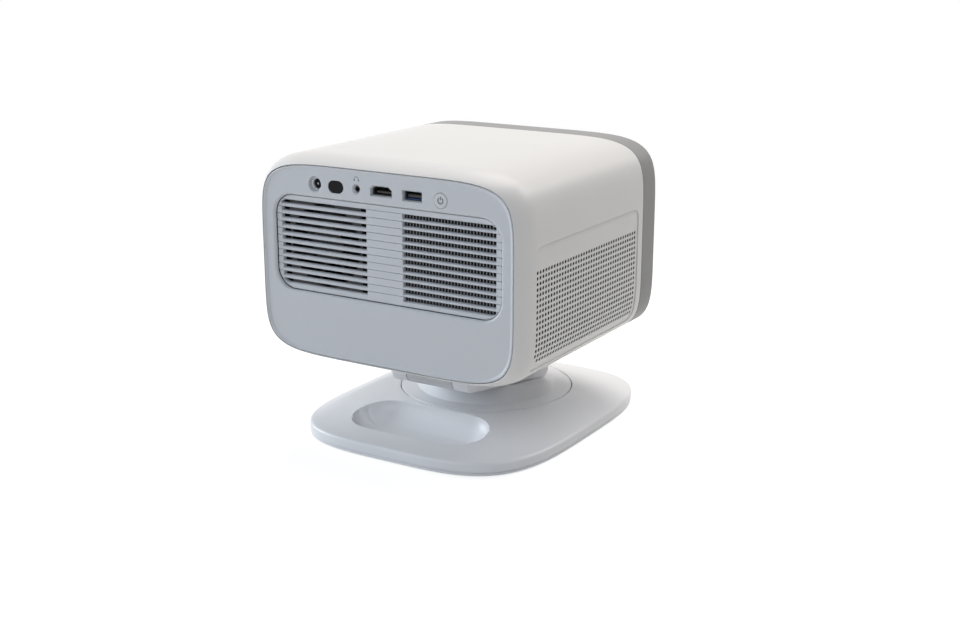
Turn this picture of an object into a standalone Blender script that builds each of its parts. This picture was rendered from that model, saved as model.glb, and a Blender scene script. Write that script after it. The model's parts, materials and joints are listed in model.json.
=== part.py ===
# A home projector: a rounded box head on a tilting and swivelling stand.
# Metres, +Z up. The origin is on the table under the middle of the base.
# The lens looks along -Y and the socket panel faces +Y.

import math

import bmesh
import bpy
from mathutils import Matrix, Vector

# Fits shared by every piece
GAP = 0.0003
OVERRUN = 0.010
SHARP_ANGLE = math.radians(35)

# Head shell
HEAD_WIDTH = 0.210
HEAD_HEIGHT = 0.143
HEAD_EXPONENT = 6.2
HEAD_POINTS = 56
HEAD_BOTTOM = 0.0622
HEAD_REAR = 0.1156
HEAD_DEPTH = 0.1946
SHELL_WALL = 0.0025
EDGE_INSET = 0.0052
EDGE_DEPTH = 0.0190
EDGE_DROP = 0.0007
EDGE_STEPS = 4

# Rear panel and what is cut in it
PANEL_THICKNESS = 0.0020
PANEL_RIM = 0.0026
PANEL_DISH = 0.0009
PANEL_LEDGE = 0.0022
PORT_ROW = 0.0523
DC_X = 0.0540
DC_RADIUS = 0.0064
DC_SOCKET_RADIUS = 0.0034
DC_PIN_RADIUS = 0.0010
DC_DEPTH = 0.0120
WINDOW_X = 0.0367
WINDOW_WIDTH = 0.0127
WINDOW_HEIGHT = 0.0088
AUDIO_X = 0.0195
AUDIO_RADIUS = 0.0042
AUDIO_BORE_RADIUS = 0.0019
AUDIO_DEPTH = 0.0110
VIDEO_X = 0.0
VIDEO_WIDTH = 0.0161
VIDEO_HEIGHT = 0.0067
VIDEO_TAPER = 0.0022
VIDEO_WALL = 0.0006
DATA_X = -0.0240
DATA_WIDTH = 0.0146
DATA_HEIGHT = 0.0072
DATA_WALL = 0.0006
SOCKET_DEPTH = 0.0120
SOCKET_FLOOR = 0.0020
TONGUE_WIDTH = 0.0108
TONGUE_HEIGHT = 0.0014
BUTTON_X = -0.0453
BUTTON_DROP = 0.0013
BUTTON_RADIUS = 0.0049
BUTTON_FLANGE_RADIUS = 0.0060
BUTTON_FLANGE = 0.0008
BUTTON_PROUD = 0.0004
BUTTON_TRAVEL = 0.0006
BUTTON_STEM_RADIUS = 0.0016
BUTTON_STEM = 0.0030
BOARD_THICKNESS = 0.0016
BOARD_LEFT = 0.0140
BOARD_RIGHT = -0.0540
BOARD_DEPTH = 0.0560
SWITCH_SIZE = 0.0060

# Louvre grille
GRILLE_MARGIN = 0.0155
GRILLE_OVER = 0.00415
GRILLE_UNDER = 0.00405
GRILLE_CORNER = 0.0145
GRILLE_SINK = 0.0006
GRILLE_DEPTH = 0.0040
SLOT_PITCH = 0.0050
SLOT_HEIGHT = 0.0027
SLOT_COUNT = 12
SLOT_TOP_ROW = 0.0375
SLOT_END = 0.0042
SLOT_INNER = 0.0145
SLAT_ROUND_STEPS = 4
WEB_SINK = 0.0004

# Perforated speaker panels on the sides
SPEAKER_TOP = 0.0242
SPEAKER_BOTTOM = -0.0585
SPEAKER_REAR = 0.0180
SPEAKER_FRONT = 0.1655
SPEAKER_CORNER = 0.0070
SPEAKER_SINK = 0.0006
SPEAKER_THICKNESS = 0.0015
DRIVER_DROP = 0.0080
DRIVER_BACK = 0.1030
DRIVER_RADIUS = 0.0240
DRIVER_MAGNET_RADIUS = 0.0140
DRIVER_DEPTH = 0.0230
DRIVER_FLANGE = 0.0020

# Front bezel, front panel and optics
BEZEL_DEPTH = 0.0220
BEZEL_RADIUS = 0.0030
BEZEL_RIM = 0.0062
BEZEL_RECESS = 0.0040
BEZEL_LEDGE = 0.0030
FRONT_THICKNESS = 0.0026
LENS_X = 0.0340
LENS_RAISE = 0.0020
HOOD_RADIUS = 0.0290
HOOD_DEPTH = 0.0110
HOOD_LIP = 0.0014
BARREL_RADIUS = 0.0225
BARREL_WALL = 0.0030
BARREL_LENGTH = 0.0500
LENS_THICKNESS = 0.0040
LENS_BULGE = 0.0040
FOCUS_LENGTH = 0.0120
FOCUS_BORE = 0.0150
FOCUS_BACK = 0.0200
SENSOR_X = -0.0340
SENSOR_WIDTH = 0.0300
SENSOR_HEIGHT = 0.0110
SENSOR_THICKNESS = 0.0018
ENGINE_HALF_WIDTH = 0.0600
ENGINE_DEPTH = 0.0550
ENGINE_HEIGHT = 0.0830

# Fan and heat sink behind the louvres
FAN_SIZE = 0.0600
FAN_DEPTH = 0.0150
FAN_DUCT_RADIUS = 0.0286
FAN_HUB_RADIUS = 0.0130
FAN_BACK = 0.0020
FAN_TIP_CLEARANCE = 0.0008
FAN_HUB_CLEARANCE = 0.0005
FAN_CORNER = 0.0040
BLADE_COUNT = 7
BLADE_THICKNESS = 0.0012
BLADE_CHORD = 0.0150
BLADE_PITCH = math.radians(42)
SPOKE_WIDTH = 0.0030
SPOKE_COUNT = 3
FIN_COUNT = 29
FIN_PITCH = 0.0024
FIN_THICKNESS = 0.0008
FIN_DEPTH = 0.0280
FIN_BASE = 0.0040
FIN_HEIGHT = 0.0580

# Tilt hinge
TILT_Y = 0.0545
TILT_Z = 0.0455
KNUCKLE_RADIUS = 0.0072
KNUCKLE_HALF_WIDTH = 0.0192
EAR_WIDTH = 0.0120
HINGE_CLEARANCE = 0.0006
PIN_RADIUS = 0.0030
BRACKET_THICKNESS = 0.0025
BRACKET_MARGIN = 0.0090
TURN_STEPS = 20

# Arm that slopes from the hinge down to the turntable
SWIVEL_Y = -0.0155
TOE_Y = -0.0480
TOE_Z = 0.0274
TOE_RADIUS = 0.0062
ARM_REST = 0.0005
ARM_CORNER = 0.0040
ARM_EDGE = 0.0005
ARM_WALL = 0.0026
ARM_SEAT = 0.0020
ARM_LID = 0.0024
ARM_LEDGE = 0.0012

# Turntable and its shaft
DISC_RADIUS = 0.0634
DISC_TOP = 0.0202
DISC_THICKNESS = 0.0030
DISC_SEAM = 0.0006
DISC_EDGE = 0.0008
NECK_FOOT_RADIUS = 0.0512
NECK_TOP_RADIUS = 0.0435
NECK_RISE = 0.0170
NECK_STEPS = 5
SHAFT_RADIUS = 0.0156
SHAFT_WALL = 0.0032
SHAFT_FLANGE_RADIUS = 0.0200
SHAFT_FLANGE = 0.0030
SHAFT_TAIL = 0.0050
SHAFT_PLAY = 0.0005
NUT_RADIUS = 0.0230
NUT_HEIGHT = 0.0030
WASHER_INSET = 0.0057
WASHER_WIDTH = 0.0180
WASHER_THICKNESS = 0.0010
DISC_STEPS = 48

# Base
BASE_WIDTH = 0.1912
BASE_DEPTH = 0.2324
BASE_EXPONENT = 3.75
BASE_POINTS = 56
BASE_TOP = 0.0200
BASE_SIDE_TOP = 0.0085
BASE_SHOULDER = 0.0022
BASE_LAND = 0.0030
BASE_WALL = 0.0030
CROWN_STEPS = 5
CROWN_BEND = 1.35
CAVITY_SHARE = 0.45
WELL_FLOOR = 0.0034
FOOT_HEIGHT = 0.0010
COVER_THICKNESS = 0.0021
COVER_INSET = 0.0004
BALLAST_THICKNESS = 0.0050
BALLAST_HALF_WIDTH = 0.0680
BALLAST_HALF_DEPTH = 0.0580
BALLAST_Y = -0.0160
BALLAST_EXPONENT = 5.0
BALLAST_BORE = 0.0260
FOOT_RADIUS = 0.0070
FOOT_SINK = 0.0006
FOOT_INSET_X = 0.0356
FOOT_INSET_Y = 0.0212
SCREW_INSET_X = 0.0216
SCREW_INSET_Y = 0.0302
SCREW_SHANK_RADIUS = 0.0013
SCREW_HEAD_RADIUS = 0.0028
SCREW_HEAD = 0.0014
SCREW_LENGTH = 0.0070
BOSS_RADIUS = 0.0036

# Storage tray in the top of the base
TRAY_LENGTH = 0.1052
TRAY_WIDTH = 0.0450
TRAY_Y = 0.0740
TRAY_FLOOR = 0.0070
TRAY_LIP = 0.0035
TRAY_WALL = 0.0022
TRAY_STEPS = 5

# Places that follow from the sizes above
HEAD_Z = HEAD_BOTTOM + HEAD_HEIGHT / 2
HEAD_FRONT = HEAD_REAR - HEAD_DEPTH
BEZEL_BACK = HEAD_FRONT + BEZEL_DEPTH
FIELD_Y = HEAD_REAR - PANEL_DISH
PANEL_BACK = FIELD_Y - PANEL_THICKNESS
PORT_Z = HEAD_Z + PORT_ROW
GRILLE_WIDTH = HEAD_WIDTH - 2 * GRILLE_MARGIN
SLOT_OUTER = GRILLE_WIDTH / 2 - SLOT_END
GRILLE_FRONT = FIELD_Y - GRILLE_SINK
GRILLE_BACK = GRILLE_FRONT - GRILLE_DEPTH
GRILLE_MID_Z = HEAD_Z + SLOT_TOP_ROW - SLOT_PITCH * (SLOT_COUNT - 1) / 2
SLOT_FIELD_HEIGHT = SLOT_PITCH * (SLOT_COUNT - 1) + SLOT_HEIGHT
GRILLE_TOP = SLOT_TOP_ROW + SLOT_HEIGHT / 2 + GRILLE_OVER
GRILLE_BOTTOM = GRILLE_TOP - GRILLE_OVER - SLOT_FIELD_HEIGHT - GRILLE_UNDER
FRONT_FACE = HEAD_FRONT + BEZEL_RECESS
LENS_Z = HEAD_Z + LENS_RAISE
HOOD_BACK = FRONT_FACE + HOOD_DEPTH
BARREL_FRONT = HOOD_BACK + GAP
ENGINE_FRONT = BARREL_FRONT + BARREL_LENGTH + GAP
FLOOR_Z = HEAD_BOTTOM + SHELL_WALL
BRACKET_TOP = FLOOR_Z + GAP + BRACKET_THICKNESS
ARM_TOP = HEAD_BOTTOM - ARM_REST
ARM_HALF_WIDTH = KNUCKLE_HALF_WIDTH + GAP + EAR_WIDTH
ARM_FRONT = TOE_Y - TOE_RADIUS
NOTCH_Y = TILT_Y - KNUCKLE_RADIUS - HINGE_CLEARANCE
COVER_BOTTOM = FOOT_HEIGHT
COVER_TOP = COVER_BOTTOM + COVER_THICKNESS
BASE_BOTTOM = COVER_TOP + GAP
DISC_BOTTOM = DISC_TOP - DISC_THICKNESS
WASHER_BOTTOM = DISC_BOTTOM - GAP - WASHER_THICKNESS
WELL_Z = WASHER_BOTTOM - GAP
CAVITY_TOP = WELL_Z - WELL_FLOOR
WELL_RADIUS = DISC_RADIUS + DISC_SEAM
FAN_X = (SLOT_INNER + SLOT_OUTER) / 2
HEATSINK_X = -FAN_X
WASHER_OUTER = DISC_RADIUS - WASHER_INSET
FOOT_X = BASE_WIDTH / 2 - FOOT_INSET_X
FOOT_Y = BASE_DEPTH / 2 - FOOT_INSET_Y
SCREW_X = BASE_WIDTH / 2 - SCREW_INSET_X
SCREW_Y = BASE_DEPTH / 2 - SCREW_INSET_Y


def clear_scene():
    for obj in list(bpy.data.objects):
        bpy.data.objects.remove(obj, do_unlink=True)


def finish(name, colour, roughness, metallic=0.0, transmission=0.0):
    made = bpy.data.materials.new(name)
    made.use_nodes = True
    shader = made.node_tree.nodes["Principled BSDF"]
    shader.inputs["Base Color"].default_value = (*colour, 1.0)
    shader.inputs["Roughness"].default_value = roughness
    shader.inputs["Metallic"].default_value = metallic
    shader.inputs["Transmission Weight"].default_value = transmission
    return made


# Outlines are lists of 2-D points in order round the shape


def squircle(half_width, half_height, exponent, count):
    points = []
    for step in range(count):
        turn = 2 * math.pi * step / count
        across, up = math.cos(turn), math.sin(turn)
        points.append((
            half_width * math.copysign(abs(across) ** (2 / exponent), across),
            half_height * math.copysign(abs(up) ** (2 / exponent), up),
        ))
    return points


def belt(circles, steps):
    """The outline of a tight belt round circles (x, y, radius), listed anticlockwise."""
    normals = []
    for this, after in zip(circles, circles[1:] + circles[:1]):
        run = Vector((after[0] - this[0], after[1] - this[1]))
        heading = math.atan2(run.y, run.x)
        normals.append(heading - math.acos((this[2] - after[2]) / run.length))
    points = []
    for index, (x, y, radius) in enumerate(circles):
        start = normals[index - 1]
        sweep = (normals[index] - start) % (2 * math.pi)
        for step in range(steps + 1):
            turn = start + sweep * step / steps
            points.append((x + radius * math.cos(turn), y + radius * math.sin(turn)))
    return points


def slot_outline(length, width, steps):
    reach = (length - width) / 2
    return belt([(-reach, 0, width / 2), (reach, 0, width / 2)], steps)


def rounded_rectangle(width, low, high, corner, steps):
    across = width / 2 - corner
    return belt([
        (-across, low + corner, corner),
        (across, low + corner, corner),
        (across, high - corner, corner),
        (-across, high - corner, corner),
    ], steps)


def rectangle(width, height):
    return [
        (-width / 2, -height / 2),
        (width / 2, -height / 2),
        (width / 2, height / 2),
        (-width / 2, height / 2),
    ]


def circle(radius, steps=TURN_STEPS):
    return squircle(radius, radius, 2, steps)


def arc(x, y, radius, start, end, steps):
    turns = [start + (end - start) * step / steps for step in range(steps + 1)]
    return [(x + radius * math.cos(turn), y + radius * math.sin(turn)) for turn in turns]


# Solids


def linked(name, bm, look):
    bmesh.ops.recalc_face_normals(bm, faces=bm.faces)
    mesh = bpy.data.meshes.new(name)
    bm.to_mesh(mesh)
    bm.free()
    obj = bpy.data.objects.new(name, mesh)
    bpy.context.scene.collection.objects.link(obj)
    if look:
        mesh.materials.append(look)
    mesh.shade_smooth()
    mesh.set_sharp_from_angle(angle=SHARP_ANGLE)
    return obj


def loft(name, rings, look=None, ring_shaped=False):
    """A skin over rings of equal length: capped at its ends, or closed on itself."""
    bm = bmesh.new()
    made = [[bm.verts.new(point) for point in ring] for ring in rings]
    pairs = list(zip(made, made[1:]))
    if ring_shaped:
        pairs.append((made[-1], made[0]))
    else:
        bm.faces.new(made[0])
        bm.faces.new(made[-1])
    for low, high in pairs:
        count = len(low)
        for index in range(count):
            after = (index + 1) % count
            bm.faces.new((low[index], low[after], high[after], high[index]))
    return linked(name, bm, look)


def prism(name, outline, low, high, look=None, place=(0, 0, 0), facing="Z"):
    """An outline extruded from low to high along Z, or turned to face Y or X."""
    bm = bmesh.new()
    face = bm.faces.new([bm.verts.new((x, y, low)) for x, y in outline])
    grown = bmesh.ops.extrude_face_region(bm, geom=[face])
    raised = [item for item in grown["geom"] if isinstance(item, bmesh.types.BMVert)]
    bmesh.ops.translate(bm, verts=raised, vec=(0, 0, high - low))
    bmesh.ops.transform(bm, matrix=facing_matrix(facing, place), verts=bm.verts)
    return linked(name, bm, look)


def facing_matrix(facing, place):
    """Z of a shape drawn flat becomes the named axis; its x and y stay across and up."""
    turns = {
        "Z": Matrix.Identity(4),
        "Y": Matrix(((1, 0, 0, 0), (0, 0, 1, 0), (0, 1, 0, 0), (0, 0, 0, 1))),
        "X": Matrix(((0, 0, 1, 0), (1, 0, 0, 0), (0, 1, 0, 0), (0, 0, 0, 1))),
    }
    return Matrix.Translation(place) @ turns[facing]


def turned(name, profile, look=None, place=(0, 0, 0), facing="Z", steps=TURN_STEPS):
    """A closed profile of (radius, height) spun round its axis."""
    bm = bmesh.new()
    verts = [bm.verts.new((radius, 0, height)) for radius, height in profile]
    edges = [
        bm.edges.new((first, after))
        for first, after in zip(verts, verts[1:] + verts[:1])
        if first.co.x > 0 or after.co.x > 0
    ]
    bmesh.ops.spin(
        bm, geom=verts + edges, cent=(0, 0, 0), axis=(0, 0, 1),
        angle=2 * math.pi, steps=steps, use_merge=True,
    )
    bmesh.ops.remove_doubles(bm, verts=bm.verts, dist=GAP / 100)
    bmesh.ops.transform(bm, matrix=facing_matrix(facing, place), verts=bm.verts)
    return linked(name, bm, look)


def box(name, low, high, look=None):
    bm = bmesh.new()
    bmesh.ops.create_cube(bm, size=1)
    span = Vector(high) - Vector(low)
    centre = (Vector(high) + Vector(low)) / 2
    matrix = Matrix.Translation(centre) @ Matrix.Diagonal((*span, 1))
    bmesh.ops.transform(bm, matrix=matrix, verts=bm.verts)
    return linked(name, bm, look)


def booleans(target, operation, tools):
    for tool in tools:
        step = target.modifiers.new(tool.name, "BOOLEAN")
        step.operation = operation
        step.object = tool
        tool.hide_render = True
        tool.display_type = "WIRE"
    return target


def cut(target, *tools):
    return booleans(target, "DIFFERENCE", tools)


def fused(target, *tools):
    return booleans(target, "UNION", tools)


# Head


def head_ring(y, inset, drop=0.0):
    outline = squircle(
        HEAD_WIDTH / 2 - inset, HEAD_HEIGHT / 2 - inset, HEAD_EXPONENT, HEAD_POINTS
    )
    return [(x, y, HEAD_Z - drop + z) for x, z in outline]


def side_point(height, inset):
    """A point on the +X flank at a height above the head's middle."""
    turn = math.asin((abs(height) / (HEAD_HEIGHT / 2)) ** (HEAD_EXPONENT / 2))
    return (
        (HEAD_WIDTH / 2 - inset) * math.cos(turn) ** (2 / HEAD_EXPONENT),
        HEAD_Z + math.copysign(
            (HEAD_HEIGHT / 2 - inset) * math.sin(turn) ** (2 / HEAD_EXPONENT), height
        ),
    )


def side_rows(grow):
    """Heights down the side panel, with how far its ends draw in at the corners."""
    corner = SPEAKER_CORNER + grow
    top, bottom = SPEAKER_TOP + grow, SPEAKER_BOTTOM - grow
    bends = [math.pi / 2 * step / 3 for step in range(4)]
    rows = [(top - corner * (1 - math.cos(b)), corner * (1 - math.sin(b))) for b in bends]
    straight = top - bottom - 2 * corner
    rows += [(top - corner - straight * step / 8, 0) for step in range(1, 8)]
    rows += [(bottom + corner * (1 - math.cos(b)), corner * (1 - math.sin(b)))
             for b in reversed(bends)]
    return rows


def side_patch(name, side, outer_inset, inner_inset, grow, look=None):
    """A piece of the flank between two depths, bent round the lower corner."""
    rear = HEAD_REAR - SPEAKER_REAR + grow
    front = HEAD_REAR - SPEAKER_FRONT - grow
    rings = []
    for height, draw in side_rows(grow):
        outer_x, outer_z = side_point(height, outer_inset)
        inner_x, inner_z = side_point(height, inner_inset)
        rings.append([
            (side * outer_x, front + draw, outer_z),
            (side * outer_x, rear - draw, outer_z),
            (side * inner_x, rear - draw, inner_z),
            (side * inner_x, front + draw, inner_z),
        ])
    return loft(name, rings, look)


def main_shell(look):
    rings = []
    for step in range(EDGE_STEPS + 1):
        share = step / EDGE_STEPS
        rings.append(head_ring(HEAD_REAR - EDGE_DEPTH * (1 - share), EDGE_INSET * share ** 2,
                               EDGE_DROP * share ** 2))
    seat = PANEL_BACK - GAP
    rings += [
        head_ring(seat, EDGE_INSET, EDGE_DROP),
        head_ring(seat, EDGE_INSET + PANEL_LEDGE, EDGE_DROP),
        head_ring(seat - PANEL_LEDGE, EDGE_INSET + PANEL_LEDGE, EDGE_DROP),
        head_ring(HEAD_REAR - EDGE_DEPTH, SHELL_WALL),
        head_ring(BEZEL_BACK, SHELL_WALL),
        head_ring(BEZEL_BACK, 0),
    ]
    shell = loft("main_shell", rings, look, ring_shaped=True)
    for side, word in ((1, "left"), (-1, "right")):
        cut(shell, side_patch(
            f"cut_speaker_{word}", side, -OVERRUN, SHELL_WALL + OVERRUN, GAP
        ))
    across, reach = KNUCKLE_HALF_WIDTH + GAP, KNUCKLE_RADIUS + GAP
    return cut(shell, box(
        "cut_knuckle_slot", (-across, TILT_Y - reach, HEAD_BOTTOM - OVERRUN),
        (across, TILT_Y + reach, FLOOR_Z + OVERRUN),
    ))


def video_outline(inset):
    half, tall = VIDEO_WIDTH / 2 - inset, VIDEO_HEIGHT / 2 - inset
    return [
        (-half + VIDEO_TAPER, -tall),
        (half - VIDEO_TAPER, -tall),
        (half, -tall + VIDEO_TAPER),
        (half, tall),
        (-half, tall),
        (-half, -tall + VIDEO_TAPER),
    ]


def rear_panel(look):
    outline_inset = EDGE_INSET + GAP
    panel = loft("rear_panel", [
        head_ring(PANEL_BACK, outline_inset, EDGE_DROP),
        head_ring(HEAD_REAR - PANEL_DISH / 2, outline_inset, EDGE_DROP),
        head_ring(HEAD_REAR, outline_inset + PANEL_DISH / 2, EDGE_DROP),
        head_ring(FIELD_Y, outline_inset + PANEL_RIM, EDGE_DROP),
    ], look)
    low, high = PANEL_BACK - OVERRUN, HEAD_REAR + OVERRUN
    window = slot_outline(WINDOW_WIDTH, WINDOW_HEIGHT, TURN_STEPS // 2)
    grille = rounded_rectangle(
        GRILLE_WIDTH, GRILLE_BOTTOM, GRILLE_TOP, GRILLE_CORNER, TURN_STEPS // 4
    )
    holes = (
        ("dc", circle(DC_RADIUS), DC_X, PORT_Z),
        ("window", window, WINDOW_X, PORT_Z),
        ("audio", circle(AUDIO_RADIUS), AUDIO_X, PORT_Z),
        ("video", video_outline(0), VIDEO_X, PORT_Z),
        ("data", rectangle(DATA_WIDTH, DATA_HEIGHT), DATA_X, PORT_Z),
        ("button", circle(BUTTON_RADIUS + GAP), BUTTON_X, PORT_Z - BUTTON_DROP),
        ("grille", grille, 0, HEAD_Z),
    )
    for name, outline, x, z in holes:
        cut(panel, prism(f"cut_{name}", outline, low, high, None, (x, 0, z), "Y"))
    return panel


def slat_outline():
    """Section of one louvre, rounded on the side that faces out."""
    half = (SLOT_PITCH - SLOT_HEIGHT) / 2
    nose = GRILLE_FRONT - half
    points = [(GRILLE_BACK, -half)]
    for step in range(SLAT_ROUND_STEPS + 1):
        turn = math.pi * (step / SLAT_ROUND_STEPS - 1 / 2)
        points.append((nose + half * math.cos(turn), half * math.sin(turn)))
    return points + [(GRILLE_BACK, half)]


def rear_grille(look):
    frame = prism("rear_grille", rounded_rectangle(
        GRILLE_WIDTH - 2 * GAP, GRILLE_BOTTOM + GAP, GRILLE_TOP - GAP,
        GRILLE_CORNER - GAP, TURN_STEPS // 4,
    ), GRILLE_BACK, GRILLE_FRONT, look, (0, 0, HEAD_Z), "Y")
    opening = rectangle(2 * SLOT_OUTER, SLOT_FIELD_HEIGHT)
    cut(frame, prism(
        "cut_slots", opening, GRILLE_BACK - OVERRUN, GRILLE_FRONT + OVERRUN, None,
        (0, 0, GRILLE_MID_Z), "Y",
    ))
    reach = SLOT_FIELD_HEIGHT / 2 + SLOT_HEIGHT / 2
    web = box(
        "add_web", (-SLOT_INNER, GRILLE_BACK, GRILLE_MID_Z - reach),
        (SLOT_INNER, GRILLE_FRONT - WEB_SINK, GRILLE_MID_Z + reach),
    )
    across = SLOT_OUTER + SLOT_HEIGHT / 2
    fused(frame, web)
    for index in range(SLOT_COUNT - 1):
        z = HEAD_Z + SLOT_TOP_ROW - SLOT_PITCH * (index + 1 / 2)
        fused(frame, prism(
            f"add_slat_{index}", slat_outline(), -across, across, None, (0, 0, z), "X"
        ))
    return frame


def dc_jack(look):
    outer, depth = DC_RADIUS - GAP, DC_DEPTH
    floor = -depth + SOCKET_FLOOR
    return turned("dc_jack", [
        (0, -depth), (outer, -depth), (outer, -GAP), (outer - GAP, 0),
        (DC_SOCKET_RADIUS + GAP, 0), (DC_SOCKET_RADIUS, -GAP), (DC_SOCKET_RADIUS, floor),
        (DC_PIN_RADIUS, floor), (DC_PIN_RADIUS, -SOCKET_FLOOR), (0, -SOCKET_FLOOR + DC_PIN_RADIUS),
    ], look, (DC_X, FIELD_Y - GAP, PORT_Z), "Y")


def ir_window(look):
    outline = slot_outline(WINDOW_WIDTH - 2 * GAP, WINDOW_HEIGHT - 2 * GAP, TURN_STEPS // 2)
    return prism("ir_window", outline, PANEL_BACK, FIELD_Y - GAP, look,
                 (WINDOW_X, 0, PORT_Z), "Y")


def audio_jack(look):
    outer, depth = AUDIO_RADIUS - GAP, AUDIO_DEPTH
    floor = -depth + SOCKET_FLOOR
    return turned("audio_jack", [
        (0, -depth), (outer, -depth), (outer, -GAP), (outer - GAP, 0),
        (AUDIO_BORE_RADIUS + GAP, 0), (AUDIO_BORE_RADIUS, -GAP), (AUDIO_BORE_RADIUS, floor),
        (0, floor),
    ], look, (AUDIO_X, FIELD_Y - GAP, PORT_Z), "Y")


def socket(name, outer, inner, x, tongue_z, look):
    """A metal socket shell with a floor and a contact tongue inside."""
    mouth = FIELD_Y - GAP
    back = mouth - SOCKET_DEPTH
    body = prism(name, outer, back, mouth, look, (x, 0, PORT_Z), "Y")
    cut(body, prism(f"cut_{name}", inner, back + SOCKET_FLOOR, mouth + OVERRUN, None,
                    (x, 0, PORT_Z), "Y"))
    tongue = prism(f"add_{name}_tongue", rectangle(TONGUE_WIDTH, TONGUE_HEIGHT),
                   back + SOCKET_FLOOR / 2, mouth - SOCKET_FLOOR, None,
                   (x, 0, PORT_Z + tongue_z), "Y")
    return fused(body, tongue)


def sockets(look):
    socket("video_port", video_outline(GAP), video_outline(GAP + VIDEO_WALL), VIDEO_X, 0, look)
    wide, tall = DATA_WIDTH - 2 * GAP, DATA_HEIGHT - 2 * GAP
    socket(
        "data_port", rectangle(wide, tall),
        rectangle(wide - 2 * DATA_WALL, tall - 2 * DATA_WALL), DATA_X, TONGUE_HEIGHT, look,
    )


def power_button(look):
    flange_front = PANEL_BACK - GAP - FIELD_Y
    flange_back = flange_front - BUTTON_FLANGE
    return turned("power_button", [
        (0, flange_back - BUTTON_STEM), (BUTTON_STEM_RADIUS, flange_back - BUTTON_STEM),
        (BUTTON_STEM_RADIUS, flange_back), (BUTTON_FLANGE_RADIUS, flange_back),
        (BUTTON_FLANGE_RADIUS, flange_front), (BUTTON_RADIUS, flange_front),
        (BUTTON_RADIUS, BUTTON_PROUD - GAP), (BUTTON_RADIUS - GAP, BUTTON_PROUD),
        (0, BUTTON_PROUD),
    ], look, (BUTTON_X, FIELD_Y, PORT_Z - BUTTON_DROP), "Y")


def main_board(look):
    """Board under the sockets, with the switch that the power button presses."""
    top = PORT_Z - DATA_HEIGHT / 2
    board = box(
        "main_board", (BOARD_RIGHT, PANEL_BACK - GAP - BOARD_DEPTH, top - BOARD_THICKNESS),
        (BOARD_LEFT, PANEL_BACK - GAP, top),
    )
    board.data.materials.append(look)
    stem_end = PANEL_BACK - GAP - BUTTON_FLANGE - BUTTON_STEM
    front = stem_end - BUTTON_TRAVEL - GAP
    switch = box(
        "add_switch", (BUTTON_X - SWITCH_SIZE / 2, front - SWITCH_SIZE, top - BOARD_THICKNESS / 2),
        (BUTTON_X + SWITCH_SIZE / 2, front, PORT_Z - BUTTON_DROP + SWITCH_SIZE / 2),
    )
    relief = box(
        "cut_board_button",
        (BUTTON_X - BUTTON_FLANGE_RADIUS - 2 * GAP, front, top - OVERRUN),
        (BUTTON_X + BUTTON_FLANGE_RADIUS + 2 * GAP, PANEL_BACK + OVERRUN, top + OVERRUN),
    )
    return fused(cut(board, relief), switch)


def speaker_panels(look):
    for side, word in ((1, "left"), (-1, "right")):
        side_patch(f"speaker_grille_{word}", side, SPEAKER_SINK,
                   SPEAKER_SINK + SPEAKER_THICKNESS, 0, look)


def speaker_drivers(look):
    """A round driver close behind each perforated panel, facing out."""
    flange, throat = -DRIVER_FLANGE, -DRIVER_DEPTH / 2
    profile = [
        (0, -DRIVER_DEPTH), (DRIVER_MAGNET_RADIUS, -DRIVER_DEPTH),
        (DRIVER_MAGNET_RADIUS, throat), (DRIVER_RADIUS - DRIVER_FLANGE, flange),
        (DRIVER_RADIUS, flange), (DRIVER_RADIUS, 0),
        (DRIVER_RADIUS - DRIVER_FLANGE, 0), (DRIVER_MAGNET_RADIUS / 2, throat / 2),
        (0, throat / 3),
    ]
    drop = DRIVER_DROP + DRIVER_RADIUS
    face_x = side_point(-drop, SPEAKER_SINK + SPEAKER_THICKNESS)[0] - GAP
    for side, word in ((1, "left"), (-1, "right")):
        turned(
            f"speaker_driver_{word}", [(radius, side * depth) for radius, depth in profile],
            look, (side * face_x, HEAD_REAR - DRIVER_BACK, HEAD_Z - DRIVER_DROP), "X",
        )


def front_bezel(look):
    back = BEZEL_BACK - GAP
    rings = [head_ring(back, SHELL_WALL), head_ring(back, 0)]
    for step in range(EDGE_STEPS + 1):
        bend = math.pi / 2 * step / EDGE_STEPS
        rings.append(head_ring(
            HEAD_FRONT + BEZEL_RADIUS * (1 - math.sin(bend)),
            BEZEL_RADIUS * (1 - math.cos(bend)),
        ))
    seat = FRONT_FACE + FRONT_THICKNESS + GAP
    rings += [
        head_ring(HEAD_FRONT, BEZEL_RIM),
        head_ring(seat, BEZEL_RIM),
        head_ring(seat, BEZEL_RIM + BEZEL_LEDGE),
        head_ring(seat + BEZEL_LEDGE, BEZEL_RIM + BEZEL_LEDGE),
        head_ring(seat + 2 * BEZEL_LEDGE, SHELL_WALL),
    ]
    return loft("front_bezel", rings, look, ring_shaped=True)


def front_panel(look):
    panel = loft("front_panel", [
        head_ring(FRONT_FACE, BEZEL_RIM + GAP),
        head_ring(FRONT_FACE + FRONT_THICKNESS, BEZEL_RIM + GAP),
    ], look)
    low, high = FRONT_FACE - OVERRUN, FRONT_FACE + OVERRUN
    lens = prism("cut_lens", circle(HOOD_RADIUS, DISC_STEPS // 2), low, high, None,
                 (LENS_X, 0, LENS_Z), "Y")
    sensor = prism("cut_sensor", slot_outline(SENSOR_WIDTH, SENSOR_HEIGHT, TURN_STEPS // 2),
                   low, high, None, (SENSOR_X, 0, LENS_Z), "Y")
    return cut(panel, lens, sensor)


def sensor_window(look):
    outline = slot_outline(SENSOR_WIDTH - 2 * GAP, SENSOR_HEIGHT - 2 * GAP, TURN_STEPS // 2)
    return prism("sensor_window", outline, FRONT_FACE + GAP,
                 FRONT_FACE + GAP + SENSOR_THICKNESS, look, (SENSOR_X, 0, LENS_Z), "Y")


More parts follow.
